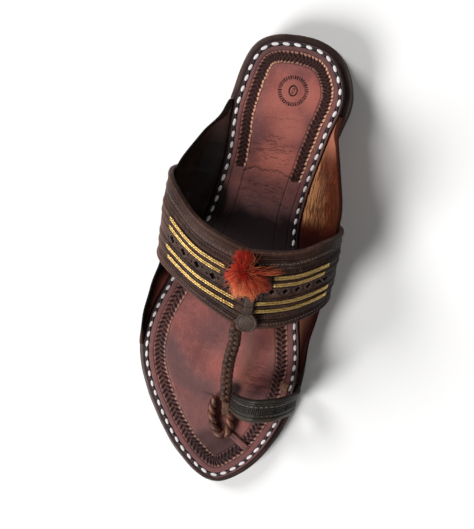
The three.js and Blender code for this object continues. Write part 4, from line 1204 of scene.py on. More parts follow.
def leaned(cross, share):
    return share - leanAt(cross, share)


runCross = np.linspace(-1, 1, 801)
runFromCrown = runAlong(bandPoint(runCross, leaned(runCross, band["runShare"]), band["thickness"]))
runFromCrown -= runFromCrown[len(runFromCrown) // 2]


def rolled(x):  # a half round between 0 and 1
    return np.sqrt(np.clip(1 - (2 * np.clip(x, 0, 1) - 1) ** 2, 0, 1))


def grooved(grooves, span, widen, rowFor):  # depth and darkness of pressed lines
    depth, dark = 0.0, 0.0
    for at, wide, deep in grooves:
        groove = bump(rowFor(at) * span, at * span, wide * widen)
        depth, dark = depth + deep * groove, np.maximum(dark, groove)
    return depth, dark


def ladderCut(ladder, place, run, span):  # a strip of short bars with a line along its middle
    low, high, soft, weave = ladder["low"], ladder["high"], ladder["soft"], ladder["weave"]
    strip = smooth((place - low) * span / soft) * smooth((high - place) * span / soft)
    bars = smooth((zigzag(run / ladder["pitch"]) - ladder["bars"]) / 0.3)
    middle = bump(place * span, (low + high) / 2 * span, ladder["middle"])
    return strip * np.maximum(bars * (1 - weave * middle), (1 - weave / 4) * middle)


def cloversOn(share, run):  # depth, darkness and pale rim of the punched clovers and lozenges
    clover, lozenge, mm = band["clover"], band["lozenge"], band["rowSpan"]
    depth, dark, pale = np.zeros_like(share), np.zeros_like(share), np.zeros_like(share)
    for crossAt, shareAt in band["clovers"]:
        size = 1.0 if crossAt < 0 else clover["innerSize"]
        sideways = (run - np.interp(crossAt, runCross, runFromCrown)) / size
        lengthwise = (share - shareAt) * mm / size
        petals = clover["petal"] - np.minimum(
            np.hypot(np.maximum(np.abs(sideways) - clover["reach"], 0), lengthwise),
            np.hypot(sideways, np.maximum(np.abs(lengthwise) - clover["reach"], 0)),
        )
        depth += clover["depth"] * smooth((petals + 0.1) / 0.5)
        dark = np.maximum(dark, smooth((petals + 0.12) / 0.3))
        pale = np.maximum(pale, 0.4 * bump(petals, -0.5, 0.35))
        for way in (-1, 1):  # small lozenges between the clovers
            near = np.abs(sideways - way * lozenge["aside"]) + np.abs(lengthwise + way * lozenge["up"])
            spot = smooth((lozenge["half"] - near) / 0.35)
            depth += lozenge["depth"] * spot
            dark = np.maximum(dark, spot)
    return depth, dark, pale


def bandRelief(cross, share, run):  # height, and the marks its finish reads
    row, mm = share + leanAt(cross, share), band["rowSpan"]
    fade = smooth((1 - np.abs(cross)) / 0.06)
    low, high = band["straight"]
    depth, dark = grooved(band["grooves"], mm, 1.6, lambda at: share if at < low or at > high else row)
    bead = band["bead"]
    rolls = rolled(share / bead["width"]) + rolled((1 - share) / (bead["width"] * 0.8))
    height = bead["height"] * rolls - depth
    for at, *spans in band["goldRows"]:
        ends = [smooth((cross - low) / 0.02) * smooth((high - cross) / 0.02) for low, high in spans]
        height += 0.4 * bump(row * mm, at * mm, 2.3)
        dark = np.maximum(dark, 0.85 * np.maximum(*ends) * bump(row * mm, at * mm, 1.6))
    cut = ladderCut(band["ladder"], row, run, mm)
    dots = band["dots"]
    away = (run / dots["pitch"] - np.round(run / dots["pitch"])) * dots["pitch"]
    spot = smooth((dots["radius"] - np.hypot(away, (row - dots["share"]) * mm)) / 0.22)
    punched, holes, pale = cloversOn(share, run)
    height -= (band["ladder"]["depth"] * cut + dots["depth"] * spot) * fade + punched
    dark = np.maximum.reduce([dark, 0.8 * cut, spot, holes])
    for at, _, _, wide in band["stitchRows"]:
        height -= 0.16 * bump(row * mm, at * mm, wide * 1.5)
    height += 0.16 * np.sin(run * 0.21 + 3 * share) * np.sin(share * 9 + 0.4) * fade
    # painted shade over the band's inner half, deepest at its inner end
    shade = 0.45 * smooth((cross - 0.08) / 0.3) + 0.4 * smooth((cross - 0.4) / 0.2)
    edges = 0.35 * bump(share, 0.02, 0.04) + 0.4 * bump(share, 0.078, 0.02) + 0.3 * bump(share, 0.985, 0.03)
    edges += 0.8 * smooth((-0.42 - cross) / 0.25) * smooth((share - 0.2) / 0.1)
    return height, {
        "pressed": np.clip(dark, 0, 1), "wornAndLit": pale * (1 - dark),
        "stainAndShade": (shade + 0.25 * smooth((-0.8 - cross) / 0.1)) * (1 - dark),
        "blushAndHighlight": np.clip(edges, 0, 0.85) * (1 - dark) * (1 - 0.8 * smooth((cross - 0.1) / 0.4)),
    }


def makeStrip(name, top, edge, floor, placeAt, marks, material, slot, stands):  # a strap closed underneath
    around = [(1 + over, height) for over, height in edge]
    around += [(share, floor) for share in np.linspace(1, 0, 9)]
    around += [(-over, height) for over, height in edge[::-1]]
    under = np.stack([placeAt(share, height) for share, height in around], axis=1)
    grid = np.concatenate([top, under], axis=1)
    for mark, values in marks.items():
        below = np.full(under.shape[:2], 0.3 if mark == "pressed" else 0.0)
        marks[mark] = np.concatenate([values, below], axis=1)
    makePiece(name, grid, tubeFaces(*grid.shape[:2]), material, slot, stands, marks)


def makeBand(material):
    cross, shares = np.linspace(-1, 1, band["columns"])[:, None], np.linspace(0, 1, band["rows"])[None, :]
    run = np.interp(cross, runCross, runFromCrown)
    relief, marks = bandRelief(*np.broadcast_arrays(cross, shares, run))
    thick = band["thickness"]
    edge = [(0.0035, thick * 0.8), (0.006, thick * 0.45), (0.0035, 0.1)]
    makeStrip(
        "instep_band", bandPoint(cross, shares, thick + relief), edge, 0.0,
        lambda share, height: bandPoint(cross[:, 0], share, height),
        marks, material, "upper_leather", ["upper"],
    )


def bandPath(share, crossFrom, crossTo, height, spacing):  # even places along a row, and their normals
    cross = np.linspace(crossFrom, crossTo, 240)
    run = runAlong(bandPoint(cross, leaned(cross, share), height))
    at = np.linspace(0, run[-1], max(4, int(run[-1] / spacing)))
    cross = np.interp(at, run, cross)
    share = leaned(cross, share)
    return bandPoint(cross, share, height), bandNormal(cross, share), at


def twisted(path, up, pitch):  # two plies twisted along a path, tapered at both ends
    cord, run = band["cord"], runAlong(path)
    angle, turn = circle(cord["sides"]), (run * 2 * math.pi / pitch)[:, None]
    reach = cord["radius"] * (1 - cord["groove"] + cord["groove"] * np.abs(np.cos(angle - turn / 2)))
    taper = np.clip(np.minimum(run, run[-1] - run) / (cord["radius"] * 1.2), 0.15, 1) ** 0.5
    return sweep(path, ovals(reach * taper[:, None], angle), up)


def makeGoldCords(gold):
    cords, cord = Shapes(), band["cord"]
    for share, *spans in band["goldRows"]:
        for span in spans:
            for way in (-1, 1):
                height = band["thickness"] + cord["lift"]
                path, up, at = bandPath(share + way * cord["apart"], *span, height, cord["spacing"])
                path = path + up * (cord["waver"] * np.sin(at * 0.9 + way * 3.75))[:, None]
                cords.add(*twisted(path, up, way * cord["pitch"]))
    cords.make("gold_cords", gold, "brass")


def addDash(dashes, rng, place, ahead, up, length, wide, longest, askew):  # one short stitch
    size = (length * rng.uniform(dash["shortest"], longest), wide, dash["height"])
    turn = rng.uniform(-askew, askew)
    shape = padShape(place, ahead, np.cross(up, ahead), up, size, dash["plies"], turn, dash["twist"])
    dashes.add(*shape, tint=rng.random())


def makeDashes(material):
    dashes, rng, reach = Shapes(), random.Random(5), band["stitchReach"]
    for share, length, pitch, wide in band["stitchRows"]:
        path, up, at = bandPath(share, -reach, reach, band["thickness"] - dash["sunk"], 0.1)
        for start in np.arange(band["firstStitch"], at[-1] - length, pitch):
            k = int(np.searchsorted(at, start + length / 2))
            ahead = unit(path[min(k + 2, len(path) - 1)] - path[max(k - 2, 0)])
            addDash(dashes, rng, path[k], ahead, up[k], length, wide, 1.08, 0.06)
    dashes.make("band_stitches", material, "upper_leather")


# finishes of the upper
upperLooks = {
    "band": {
        "cloud": 20, "pebbleDepth": 0.1, "streak": 0.4, "rough": (0.42, 0.6), "coat": 0.04,
        "shine": 0.17, "mottle": 0.5,
        "stainAndShade": (0.009, 0.006, 0.005), "blushAndHighlight": (0.11, 0.038, 0.022), "wornAndLitColour": (0.16, 0.11, 0.1),
    },
    "earOuter": {
        "cloud": 18, "fibre": (0.2, 0.2, 1.2), "rough": (0.3, 0.5), "coatRough": 0.25, "shine": 0.25,
        "stainAndShade": (0.01, 0.006, 0.005), "blushAndHighlight": (0.12, 0.062, 0.048), "wornAndLitColour": (0.5, 0.13, 0.09),
    },
    "earInner": {
        "cloud": 14, "pebbleDepth": 0.08, "fibre": (0.9, 0.24, 0.7), "streak": 0.4,
        "rough": (0.3, 0.46), "coat": 0.02, "coatRough": 0.2, "shine": 0.12, "fibreDepth": 0.2, "mottle": 0.5,
        "stainAndShade": (0.022, 0.006, 0.005), "blushAndHighlight": (0.47, 0.17, 0.105), "wornAndLitColour": (0.17, 0.07, 0.04),
        "sheen": (0.85, 0.4, 0.17), "sheenStretch": (1.4, 0.1, 0.6),
    },
}
bandColours = (0.024, 0.01, 0.007), (0.07, 0.033, 0.023), (0.17, 0.093, 0.066)
outerColours = (0.01, 0.006, 0.005), (0.025, 0.014, 0.011), (0.075, 0.036, 0.028)
innerColours = (0.05, 0.008, 0.004), (0.1, 0.015, 0.006), (0.26, 0.05, 0.018)
bandFinish = leather("bandLeather", bandColours, upperLooks["band"])
earOuterFinish = leather("earOuterLeather", outerColours, upperLooks["earOuter"])
earInnerFinish = leather("earInnerLeather", innerColours, upperLooks["earInner"])
goldThread = metalFinish("goldThread", (0.8, 0.58, 0.22), (0.34, 0.19, 0.06), 0.4)
dashThread = threadFinish("dashThread", (0.17, 0.13, 0.12), (0.08, 0.055, 0.05), 0.7)
makeEar(outer, "outer_ear", earOuterFinish)
makeEar(inner, "inner_ear", earInnerFinish)
makeBand(bandFinish)
makeGoldCords(goldThread)
makeDashes(dashThread)
print("ears and band are made")


# toe ring: a strap over the big toe, with its tail turned in over the insole
toeRing = {
    "thickness": 2.2,
    "turns": 210,
    "columns": 96,
    "span": 14.5,  # width, rear edge to front edge
    "arch": [  # turn, across, along and height of the rear edge, then of the front edge
        (0, 31, -66, 5.5, 29.5, -79, 5.5), (0.08, 38, -66, 5.5, 36.6, -79, 5.5),
        (0.16, 39.8, -66, 9, 38.4, -79.3, 9), (0.28, 40.6, -65.5, 19, 39, -80, 16.5),
        (0.42, 37, -65.8, 31.5, 34.5, -81.2, 26), (0.56, 28.5, -68, 38.5, 27, -83.8, 31.5),
        (0.7, 19.5, -70.3, 39.5, 18.5, -86, 32), (0.86, 9.5, -72.3, 34, 9, -87.2, 26.5),
        (1, 3.1, -73.2, 25.5, 2.6, -86.4, 19.5),
    ],
    "beads": [(0.0, 0.085, 0.5), (0.085, 0.19, 0.4)],  # from share, to share, height
    "grooves": [(0.085, 0.3, 0.35), (0.19, 0.35, 0.35), (0.34, 0.28, 0.25), (0.62, 0.28, 0.25)],
    "ladder": {
        "low": 0.36, "high": 0.6, "pitch": 1.25, "depth": 0.42, "soft": 0.3, "bars": 0.3, "middle": 0.4,
        "weave": 0.4,
    },
    "fold": {"start": 0.79, "low": 0.785, "high": 1.005, "height": 0.45},  # the lighter front border
    "stitchRows": [(0.265, 1.9, 3.0, 0.62), (0.7, 1.4, 2.7, 0.7)],  # share, length, pitch, width
    "firstStitch": 9.0,
}
ringTail = {
    "rows": 16,
    "columns": 14,
    "corner": (28.4, -69.5),
    "length": 5.6,
    "width": 5.2,
    "skew": (0.5, -1.2),
    "lift": 0.1,
    "edgeHeight": 0.35,
    "roundness": 0.8,
    "slope": 0.9,
}


def ringPlace(turn, share):
    columns = [readTable(toeRing["arch"], column, turn) for column in range(1, 7)]
    return np.stack([lerp(columns[k], columns[k + 3], share) for k in range(3)], axis=-1)


def ringPoint(turn, share, height):  # height above the ring's middle surface
    turn, share = np.broadcast_arrays(np.asarray(turn, float), np.asarray(share, float))
    step = 0.01
    u = ringPlace(np.minimum(1, turn + step), share) - ringPlace(np.maximum(0, turn - step), share)
    v = ringPlace(turn, 1) - ringPlace(turn, 0)
    normal = unit(np.cross(u, v))
    return ringPlace(turn, share) + normal * np.asarray(height)[..., None], normal


ringTurns = np.linspace(0, 1, 400)
ringRun = runAlong(ringPoint(ringTurns, 0.5, toeRing["thickness"] / 2)[0])


def ringRelief(turn, share):
    run, mm, fold = np.interp(turn, ringTurns, ringRun), toeRing["span"], toeRing["fold"]
    depth, dark = grooved(toeRing["grooves"], mm, 1.5, lambda at: share)
    height = 0.12 * np.sin(run * 0.33) * np.sin(share * 7) - depth
    for low, high, rise in toeRing["beads"]:
        height += rise * rolled((share - low) / (high - low))
    cut = ladderCut(toeRing["ladder"], share, run, mm)
    height -= toeRing["ladder"]["depth"] * cut
    folded = smooth((share - fold["start"]) * mm / 0.35)
    height += fold["height"] * folded * rolled((share - fold["low"]) / (fold["high"] - fold["low"]))
    dark = np.maximum.reduce([dark, 0.8 * cut, 0.8 * bump(share * mm, fold["start"] * mm, 0.5)])
    return height, {"pressed": np.clip(dark, 0, 1), "wornAndLit": 0.5 * folded * (1 - dark)}


def makeToeRing(material):
    turns, shares = np.linspace(0, 1, toeRing["turns"]), np.linspace(0, 1, toeRing["columns"])
    turn, share = np.broadcast_arrays(turns[:, None], shares[None, :])
    relief, marks = ringRelief(turn, share)
    half = toeRing["thickness"] / 2
    edge = [(0.012, half * 0.5), (0.018, 0.0), (0.012, -half * 0.6)]
    makeStrip(
        "toe_ring_leather", ringPoint(turn, share, half - 0.1 + relief)[0], edge, -half,
        lambda at, height: ringPoint(turns, at, height)[0],
        marks, material, "ring_leather", ["toe_ring"],
    )


def makeRingStitches(materials):
    rng = random.Random(17)
    for (share, length, pitch, wide), (name, material) in zip(toeRing["stitchRows"], materials.items()):
        dashes = Shapes()
        for start in np.arange(toeRing["firstStitch"], ringRun[-1] - length - 1, pitch):
            turns = np.interp(start + length * np.array([0, 0.5, 1]), ringRun, ringTurns)
            places, normals = ringPoint(turns, share, toeRing["thickness"] / 2 - 2 * dash["sunk"])
            ahead = unit(places[2] - places[0])
            addDash(dashes, rng, places[1], ahead, normals[1], length, wide, 1.1, 0.05)
        dashes.make(name, material, "ring_leather")


def makeRingTail(material):
    u, v = shareGrid(ringTail["rows"], ringTail["columns"])
    rim = np.minimum(np.minimum(u, 1 - u), np.minimum(v, 1 - v))
    (cornerAcross, cornerAlong), (skewAcross, skewAlong) = ringTail["corner"], ringTail["skew"]
    across = cornerAcross + ringTail["length"] * u + skewAcross * v
    along = cornerAlong + ringTail["width"] * v + skewAlong * u
    base = insoleTop(along) + ringTail["lift"]
    top = base + ringTail["edgeHeight"] + ringTail["roundness"] * smooth(rim / 0.12) + ringTail["slope"] * u
    places = joined(across, along, top), joined(across, along, base)
    makeSlab("toe_ring_tail", *places, 0.5 * smooth(1 - rim / 0.1), material, "ring_leather")


# plait, strap, cord sling and tab
plait = {
    "lobe": 4.8,
    "width": 7.2,
    "thickness": 5.0,
    "flatThickness": 2.2,
    "flatReach": 9.0,
    "strandHalf": (1.85, 1.0),
    "steps": 420,
    "sides": 14,
    "onBand": [(-0.01, 0.89, 0.6), (-0.02, 0.985, 1.1)],  # cross, share, lift
    "route": [  # free part, from below the band to the cord sling
        (0.9, -37, 45), (-1.2, -50, 36.8), (-2, -64, 28.4), (-1.6, -74, 22.8), (-1.2, -80.6, 19.4),
    ],
}
strap = {
    "width": 4.8,
    "thickness": 2.4,
    "steps": 60,
    "sides": 20,
    "slot": (-0.6, -93.3),
    "route": [(-1.1, -81.9, 18.6), (-0.9, -87, 15.9)],
}
sling = {
    "diameter": 5.4,
    "pitch": 12.0,
    "steps": 300,
    "sides": 36,
    "valley": 0.72,  # reach between the two plies, and how far a ply stands out of it
    "ply": 0.32,
    "route": [  # across, along, lift off the insole
        (-7.2, -81.2, 2.6), (-9, -85, 1.8), (-9.3, -90.4, 0.6), (-7.8, -97, 0), (-4.9, -102.5, 0),
        (-0.9, -105.2, 0), (2.3, -102.6, 0), (3.1, -98, 0.2), (2.6, -93.4, 1.0), (1.4, -89.6, 1.6),
    ],
}
toeTab = {
    "thickness": 1.1,
    "corners": [(3.9, -106), (14.5, -112.6), (17.1, -109.5), (5.4, -102.4)],
    "sides": (12.5, 3.9),
    "rows": 44,
    "columns": 18,
}


def makePlait(material):
    rest = band["thickness"] + plait["flatThickness"] / 2
    start = [bandPoint(cross, share, rest + lift) for cross, share, lift in plait["onBand"]]
    path, _, length = smoothCurve(np.vstack([start, plait["route"]]), plait["steps"])
    aside, above = acrossPath(path, (0, 0, 1.0))
    run = np.linspace(0, length, len(path))
    grown = lerp(plait["flatThickness"], plait["thickness"], smooth(run / plait["flatReach"]))
    thick = grown / plait["thickness"]
    halfWide, halfHigh = plait["strandHalf"]
    swing, lift = plait["width"] / 2 - halfWide, plait["thickness"] / 2 - halfHigh
    strands, angle = Shapes(), circle(plait["sides"])
    flat, rise = squared(np.cos(angle), 0.8), squared(np.sin(angle), 0.75)
    for k in range(3):
        phase = 2 * math.pi * (run / (3 * plait["lobe"]) + k / 3)
        x, z = swing * np.sin(phase), -lift * np.sin(2 * phase) * thick
        line = path + aside * x[:, None] + above * z[:, None]
        wide = halfWide * (0.92 - 0.1 * np.cos(2 * phase)) * (1 + 0.05 * np.sin(run * 1.3 + k))
        section = np.stack([wide[:, None] * flat, (halfHigh * thick)[:, None] * rise], axis=-1)
        edge = np.tile(np.abs(np.cos(angle)) ** 6, len(path))
        strands.add(*sweep(line, section, above), pressed=0.7 * edge)
    strands.make("toe_plait", material, "plait_leather", ["toe_braid"])


def makeStrap(material):
    x, y = strap["slot"]
    thick, top, under = strap["thickness"], float(insoleTop(y)), float(outsoleTop(y))
    down = [(x, y + thick / 2, top + thick), (x, y, top - thick / 2), (x, y, under + 2 * gap)]
    path = smoothCurve(strap["route"] + down, strap["steps"])[0]
    angle = circle(strap["sides"])
    wide, high = squared(np.cos(angle), 0.35) * strap["width"] / 2, squared(np.sin(angle), 0.5) * thick / 2
    section = np.broadcast_to(np.stack([wide, high], axis=-1), (len(path), len(angle), 2))
    marks = {"pressed": 0.5 * np.tile(np.abs(np.cos(angle)) ** 8, len(path))}
    facing = (0.02, -0.9, 0.45)
    makePiece("toe_strap", *sweep(path, section, facing), material, "plait_leather", ["toe_post"], marks)


def makeSling(material):
    radius, angle = sling["diameter"] / 2, circle(sling["sides"])
    route = [(x, y, float(insoleTop(y)) + gap + radius + lift) for x, y, lift in sling["route"]]
    path, _, length = smoothCurve(route, sling["steps"])
    run = np.linspace(0, length, len(path))[:, None]
    ply = np.abs(np.cos(angle - 2 * math.pi * run / sling["pitch"]))
    reach = radius * (sling["valley"] + sling["ply"] * ply**0.8)
    reach = reach * np.clip(np.minimum(run, length - run) / 1.2, 0.25, 1) ** 0.5
    shape = sweep(path, ovals(reach, angle), (0.1, 0.05, 1))
    makePiece("cord_sling", *shape, material, "cord_leather", ["toe_knot"], {"pressed": 0.9 * (1 - ply) ** 2})


def makeTab(material):
    a, b, c, d = (np.array(corner, float) for corner in toeTab["corners"])
    u, v = shareGrid(toeTab["rows"], toeTab["columns"])
    flat = lerp(lerp(a, b, u[..., None]), lerp(d, c, u[..., None]), v[..., None])
    long, short = toeTab["sides"]
    edge = np.minimum(np.minimum(u, 1 - u) * long, np.minimum(v, 1 - v) * short)
    thick = toeTab["thickness"] * (0.55 + 0.45 * np.sqrt(np.clip(edge / 0.5, 0, 1)))
    base = insoleTop(flat[..., 1])
    wave = (0.12 * np.sin(u * 5) + 0.06 * np.sin(v * 3 + u * 9)) * smooth(edge)
    top = joined(flat[..., 0], flat[..., 1], base + gap * 0.5 + thick + wave)
    low = joined(flat[..., 0], flat[..., 1], base + gap * 0.3)
    pressed = 0.5 * smooth(1 - edge / 0.5)
    makeSlab("toe_tab_leather", top, low, pressed, material, "insole_leather", ["toe_tab"])


# finishes of the toe pieces
toeLooks = {
    "ring": {
        "cloud": 12, "grain": 0.7, "rough": (0.36, 0.52), "coatRough": 0.25, "shine": 0.22,
        "mottle": 0.4, "wornAndLitColour": (0.045, 0.026, 0.016),
    },
    "plait": {
        "cloud": 9, "grain": 0.6, "pebbleDepth": 0.1, "fibre": (1.6, 0.25, 0.6), "streak": 0.7,
        "rough": (0.42, 0.6), "coat": 0.04, "coatRough": 0.22, "shine": 0.24, "mottle": 0.6,
        "fibreDepth": 0.14,
    },
    "cord": {
        "cloud": 8, "grain": 0.6, "pebbleDepth": 0.08, "fibre": (1.4, 0.3, 0.8), "streak": 0.7,
        "rough": (0.34, 0.5), "coat": 0.1, "coatRough": 0.22, "shine": 0.32, "mottle": 0.6,
        "fibreDepth": 0.12,
    },
    "tab": {
        "cloud": 9, "grain": 0.7, "pebbleDepth": 0.04, "fibre": (0.5, 0.3, 0.5), "rough": (0.34, 0.48),
        "coat": 0.15,
    },
}
ringColours = (0.01, 0.008, 0.006), (0.024, 0.019, 0.014), (0.07, 0.058, 0.042)
plaitColours = (0.022, 0.008, 0.004), (0.06, 0.021, 0.011), (0.22, 0.088, 0.045)
strapColours = (0.04, 0.017, 0.01), (0.11, 0.05, 0.03), (0.26, 0.13, 0.08)
cordColours = (0.045, 0.013, 0.008), (0.15, 0.045, 0.025), (0.42, 0.17, 0.09)
tabColours = (0.12, 0.045, 0.04), (0.22, 0.08, 0.068), (0.32, 0.13, 0.11)
tailColours = (0.12, 0.05, 0.03), (0.24, 0.11, 0.07), (0.4, 0.2, 0.13)
darkThread = threadFinish("darkThread", (0.02, 0.017, 0.014), (0.05, 0.04, 0.03), 0.6)
makeToeRing(leather("toeRingLeather", ringColours, toeLooks["ring"]))
makeRingStitches({"toe_ring_stitches": dashThread, "toe_ring_dark_stitches": darkThread})
makePlait(leather("plaitLeather", plaitColours, toeLooks["plait"]))
makeStrap(leather("strapLeather", strapColours, toeLooks["plait"]))
makeSling(leather("cordLeather", cordColours, toeLooks["cord"]))
makeTab(leather("tabLeather", tabColours, toeLooks["tab"]))
makeRingTail(leather("ringEndLeather", tailColours, toeLooks["tab"]))
print("toe pieces are made")


# ornament on the crown: rosette, brass disc, coin tab, tassel
ribHeight = 0.5
rosette = {
    "centre": (4.5, 3.0),
    "radius": 13.2,
    "thickness": 1.5,
    "scallops": 22,
    "scallopDepth": 1.28,
    "sides": 220,
    "shares": (0.02, 0.3, 0.55, 0.62, 0.66, 0.7, 0.76, 0.8, 0.84, 0.87, 0.9, 0.93, 0.96, 0.98, 1.0),
    "holes": {"row": 11.5, "radius": 0.75, "depth": 0.5},
    "groove": {"row": 10.0, "width": 0.5, "depth": 0.3},
}
brassDisc = {
    "radius": 8.5,
    "thickness": 0.8,
    "dome": 0.9,
    "rim": (0.95, 0.055, 0.28),  # share, width, height
    "beads": (0.84, 0.05, 0.25),
    "beadCount": 36,
    "sides": 144,
}
rosetteLow = ribHeight + gap
brassLow = rosetteLow + rosette["thickness"] + gap
brassTop = brassLow + brassDisc["thickness"] + brassDisc["dome"]
coinTab = {
    "centre": (7.0, -20.8),
    "radius": 5.7,
    "stemWidth": 5.0,
    "thickness": 1.2,
    "rearAlong": -5.6,
    "rise": [(0, 2.7), (5.2, 2.7), (8, 1.3), (11, 3.6), (24, 4.2)],  # way from the rear end, height
    "rows": 90,
    "columns": 33,
    "lip": {"inset": 1.5, "width": 0.55, "depth": 0.22},
    "dome": {"radius": 4.0, "height": 0.25},
}
tasselRing = {"centre": (3.8, 9.8), "radius": 1.9, "wire": 0.45, "steps": 48, "sides": 12}
tassel = {
    "root": (3.9, 11.8),
    "rootHeight": 2.6,
    "fans": [  # from heading, to heading, hairs, climb, its spread, length, its spread, paleness
        (-124, 2, 900, 5, 7, 14.6, 1.9, 0.62), (-118, -6, 760, 24, 9, 14.0, 2.0, 0.85),
        (-176, -122, 380, 10, 9, 12.6, 1.6, 0.2), (-170, -120, 240, 30, 9, 11.0, 1.6, 0.2),
        (-150, -18, 420, 46, 10, 11.4, 1.8, 0.55), (-180, 180, 300, 66, 14, 6.8, 1.2, 0.0),
        (82, 122, 480, 10, 10, 13.8, 1.8, 0.0), (84, 120, 220, 32, 10, 10.6, 1.6, 0.05),
        (12, 18, 20, 7, 1.5, 21.5, 4.2, 1.0), (4, 76, 150, 16, 9, 7.4, 1.4, 0.12),
        (128, 186, 190, 14, 9, 8.8, 1.6, 0.05),
    ],
    "lobes": [(-160, 15), (-108, 19), (-66, 12), (-24, 17)],  # heading and how wide: longer hair
    "palest": (-100, 34),  # painted highlight on the hairs that face the lamp: heading, and how far round from it
    "lockWidth": 7.0,
    "strays": 150,
    "hair": {"radius": 0.125, "steps": 7, "sides": 3, "taper": 0.75},
    "gather": 0.45,  # how far the tips lean over to their lock
    "bend": 1.4,
    "wave": 0.22,
    "overToe": 0.2,  # the front locks hang over toward the toe
    "droop": 3.2,
    "lowest": -3.4,
    "scatter": 0.5,
    "core": {"wide": 4.2, "high": 2.6, "drop": 0.4, "rows": 14, "columns": 28},
}


def aboveBand(across, along, height):  # places over the band, given as seen from above
    across, along, height = np.broadcast_arrays(*(np.asarray(v, float) for v in (across, along, height)))
    cross, share = np.zeros_like(across), np.full_like(along, 0.5)
    step, top = 0.02, band["thickness"]
    for _ in range(10):
        place = bandPoint(cross, share, top)
        u = (bandPoint(cross + step, share, top) - place) / step
        v = (bandPoint(cross, share + step, top) - place) / step
        missX, missY = across - place[..., 0], along - place[..., 1]
        area = u[..., 0] * v[..., 1] - u[..., 1] * v[..., 0]
        cross = cross + (missX * v[..., 1] - missY * v[..., 0]) / area
        share = share + (u[..., 0] * missY - u[..., 1] * missX) / area
    return bandPoint(cross, share, top + height), bandNormal(cross, share)


def makeDisc(name, reach, angle, low, thick, *piece):  # a round plate that follows the band
    across, along = rosette["centre"]
    x, y = across + reach * np.cos(angle), along + reach * np.sin(angle)
    points = np.concatenate([aboveBand(x, y, low + thick)[0], aboveBand(x[-1:], y[-1:], low)[0]])
    makePiece(name, points, tubeFaces(*points.shape[:2], turned=True), *piece)


def makeRosette(material):
    angle, shares = circle(rosette["sides"]), np.array(rosette["shares"])[:, None]
    scallop = np.abs(np.cos(rosette["scallops"] * angle / 2)) ** 0.7
    reach = (rosette["radius"] - rosette["scallopDepth"] * (1 - scallop)) * shares
    hole, holes, groove = np.zeros_like(reach), rosette["holes"], rosette["groove"]
    for turn in circle(rosette["scallops"]):
        x, y = holes["row"] * math.cos(turn), holes["row"] * math.sin(turn)
        near = np.hypot(reach * np.cos(angle) - x, reach * np.sin(angle) - y)
        hole = np.maximum(hole, smooth((holes["radius"] - near) / 0.4))
    ring = bump(reach, groove["row"], groove["width"])
    thick = rosette["thickness"] * (1 - 0.35 * smooth((shares - 0.95) / 0.05))
    thick = thick - holes["depth"] * hole - groove["depth"] * ring
    dark = np.concatenate([np.clip(hole + 0.8 * ring, 0, 1), np.full((1, len(angle)), 0.4)])
    piece = material, "upper_leather", ["rosette"], {"pressed": dark}
    makeDisc("rosette_leather", reach, angle, rosetteLow, thick, *piece)


def makeBrassDisc(material):
    angle = circle(brassDisc["sides"])
    shares = np.concatenate([np.linspace(0.02, 0.84, 18), np.linspace(0.86, 1, 12)])[:, None]
    beaded = smooth((zigzag(angle * brassDisc["beadCount"] / (2 * math.pi)) - 0.2) / 0.5)
    thick = brassDisc["thickness"] + brassDisc["dome"] * (1 - shares**2)
    for (at, wide, height), around in ((brassDisc["rim"], 1.0), (brassDisc["beads"], beaded)):
        thick = thick + height * bump(shares, at, wide) * around
    thick = thick - 0.5 * smooth((shares - 0.97) / 0.03)
    reach = brassDisc["radius"] * shares + 0 * angle
    makeDisc("brass_disc_metal", reach, angle, brassLow, thick, material, "brass", ["brass_disc"])


def makeCoinTab(material):
    across, middle = coinTab["centre"]
    end = middle - 0.98 * coinTab["radius"]
    along = lerp(coinTab["rearAlong"], end, np.sin(np.linspace(0, 1, coinTab["rows"]) * math.pi / 2))
    disc = np.sqrt(np.clip(coinTab["radius"] ** 2 - (along - middle) ** 2, 0, None))
    half = np.maximum(disc, np.where(along > middle, coinTab["stemWidth"] / 2, 0))
    half = np.convolve(np.pad(half, 2, mode="edge"), np.ones(5) / 5, mode="valid")[:, None]
    along, v = along[:, None], np.linspace(-1, 1, coinTab["columns"])
    x, y = np.broadcast_arrays(across + half * v, along)
    fromEdge = np.minimum(half * (1 - np.abs(v)), (along - end) * 2 + 0.02)
    lip, dome, radius = coinTab["lip"], coinTab["dome"], np.hypot(x - across, y - middle)
    groove = bump(radius, coinTab["radius"] - lip["inset"], lip["width"]) * (y < middle + 6)
    thick = coinTab["thickness"] * (0.55 + 0.45 * np.sqrt(np.clip(fromEdge / 0.5, 0, 1)))
    thick = thick - lip["depth"] * groove + dome["height"] * smooth(1 - radius / dome["radius"])
    rise = readTable(coinTab["rise"], 1, coinTab["rearAlong"] - along)
    dark = np.clip(0.35 * groove + 0.4 * smooth(1 - fromEdge / 0.4), 0, 1)
    top, low = aboveBand(x, y, rise + thick)[0], aboveBand(x, y, rise)[0]
    makeSlab("coin_tab_leather", top, low, dark, material, "upper_leather", ["coin_tab"])


def standing(across, along, height):  # seat and axes of something standing on the band
    seat, normal = aboveBand(across, along, height)
    aside = unit(np.cross((0, 1, 0), normal))
    return seat, np.stack([aside, np.cross(normal, aside), normal])


def makeTasselRing(material):
    wire, steps, sides = (tasselRing[key] for key in ("wire", "steps", "sides"))
    seat, axes = standing(*tasselRing["centre"], brassTop + wire)
    around, inside = circle(steps)[:, None], circle(sides)
    reach = tasselRing["radius"] + wire * np.cos(inside)
    places = seat + joined(reach * np.cos(around), reach * np.sin(around), wire * np.sin(inside)) @ axes
    faces = gridFaces(steps, sides, wrapRows=True, wrapColumns=True)
    makePiece("tassel_ring_metal", places, faces, material, "brass", ["tassel_ring"])


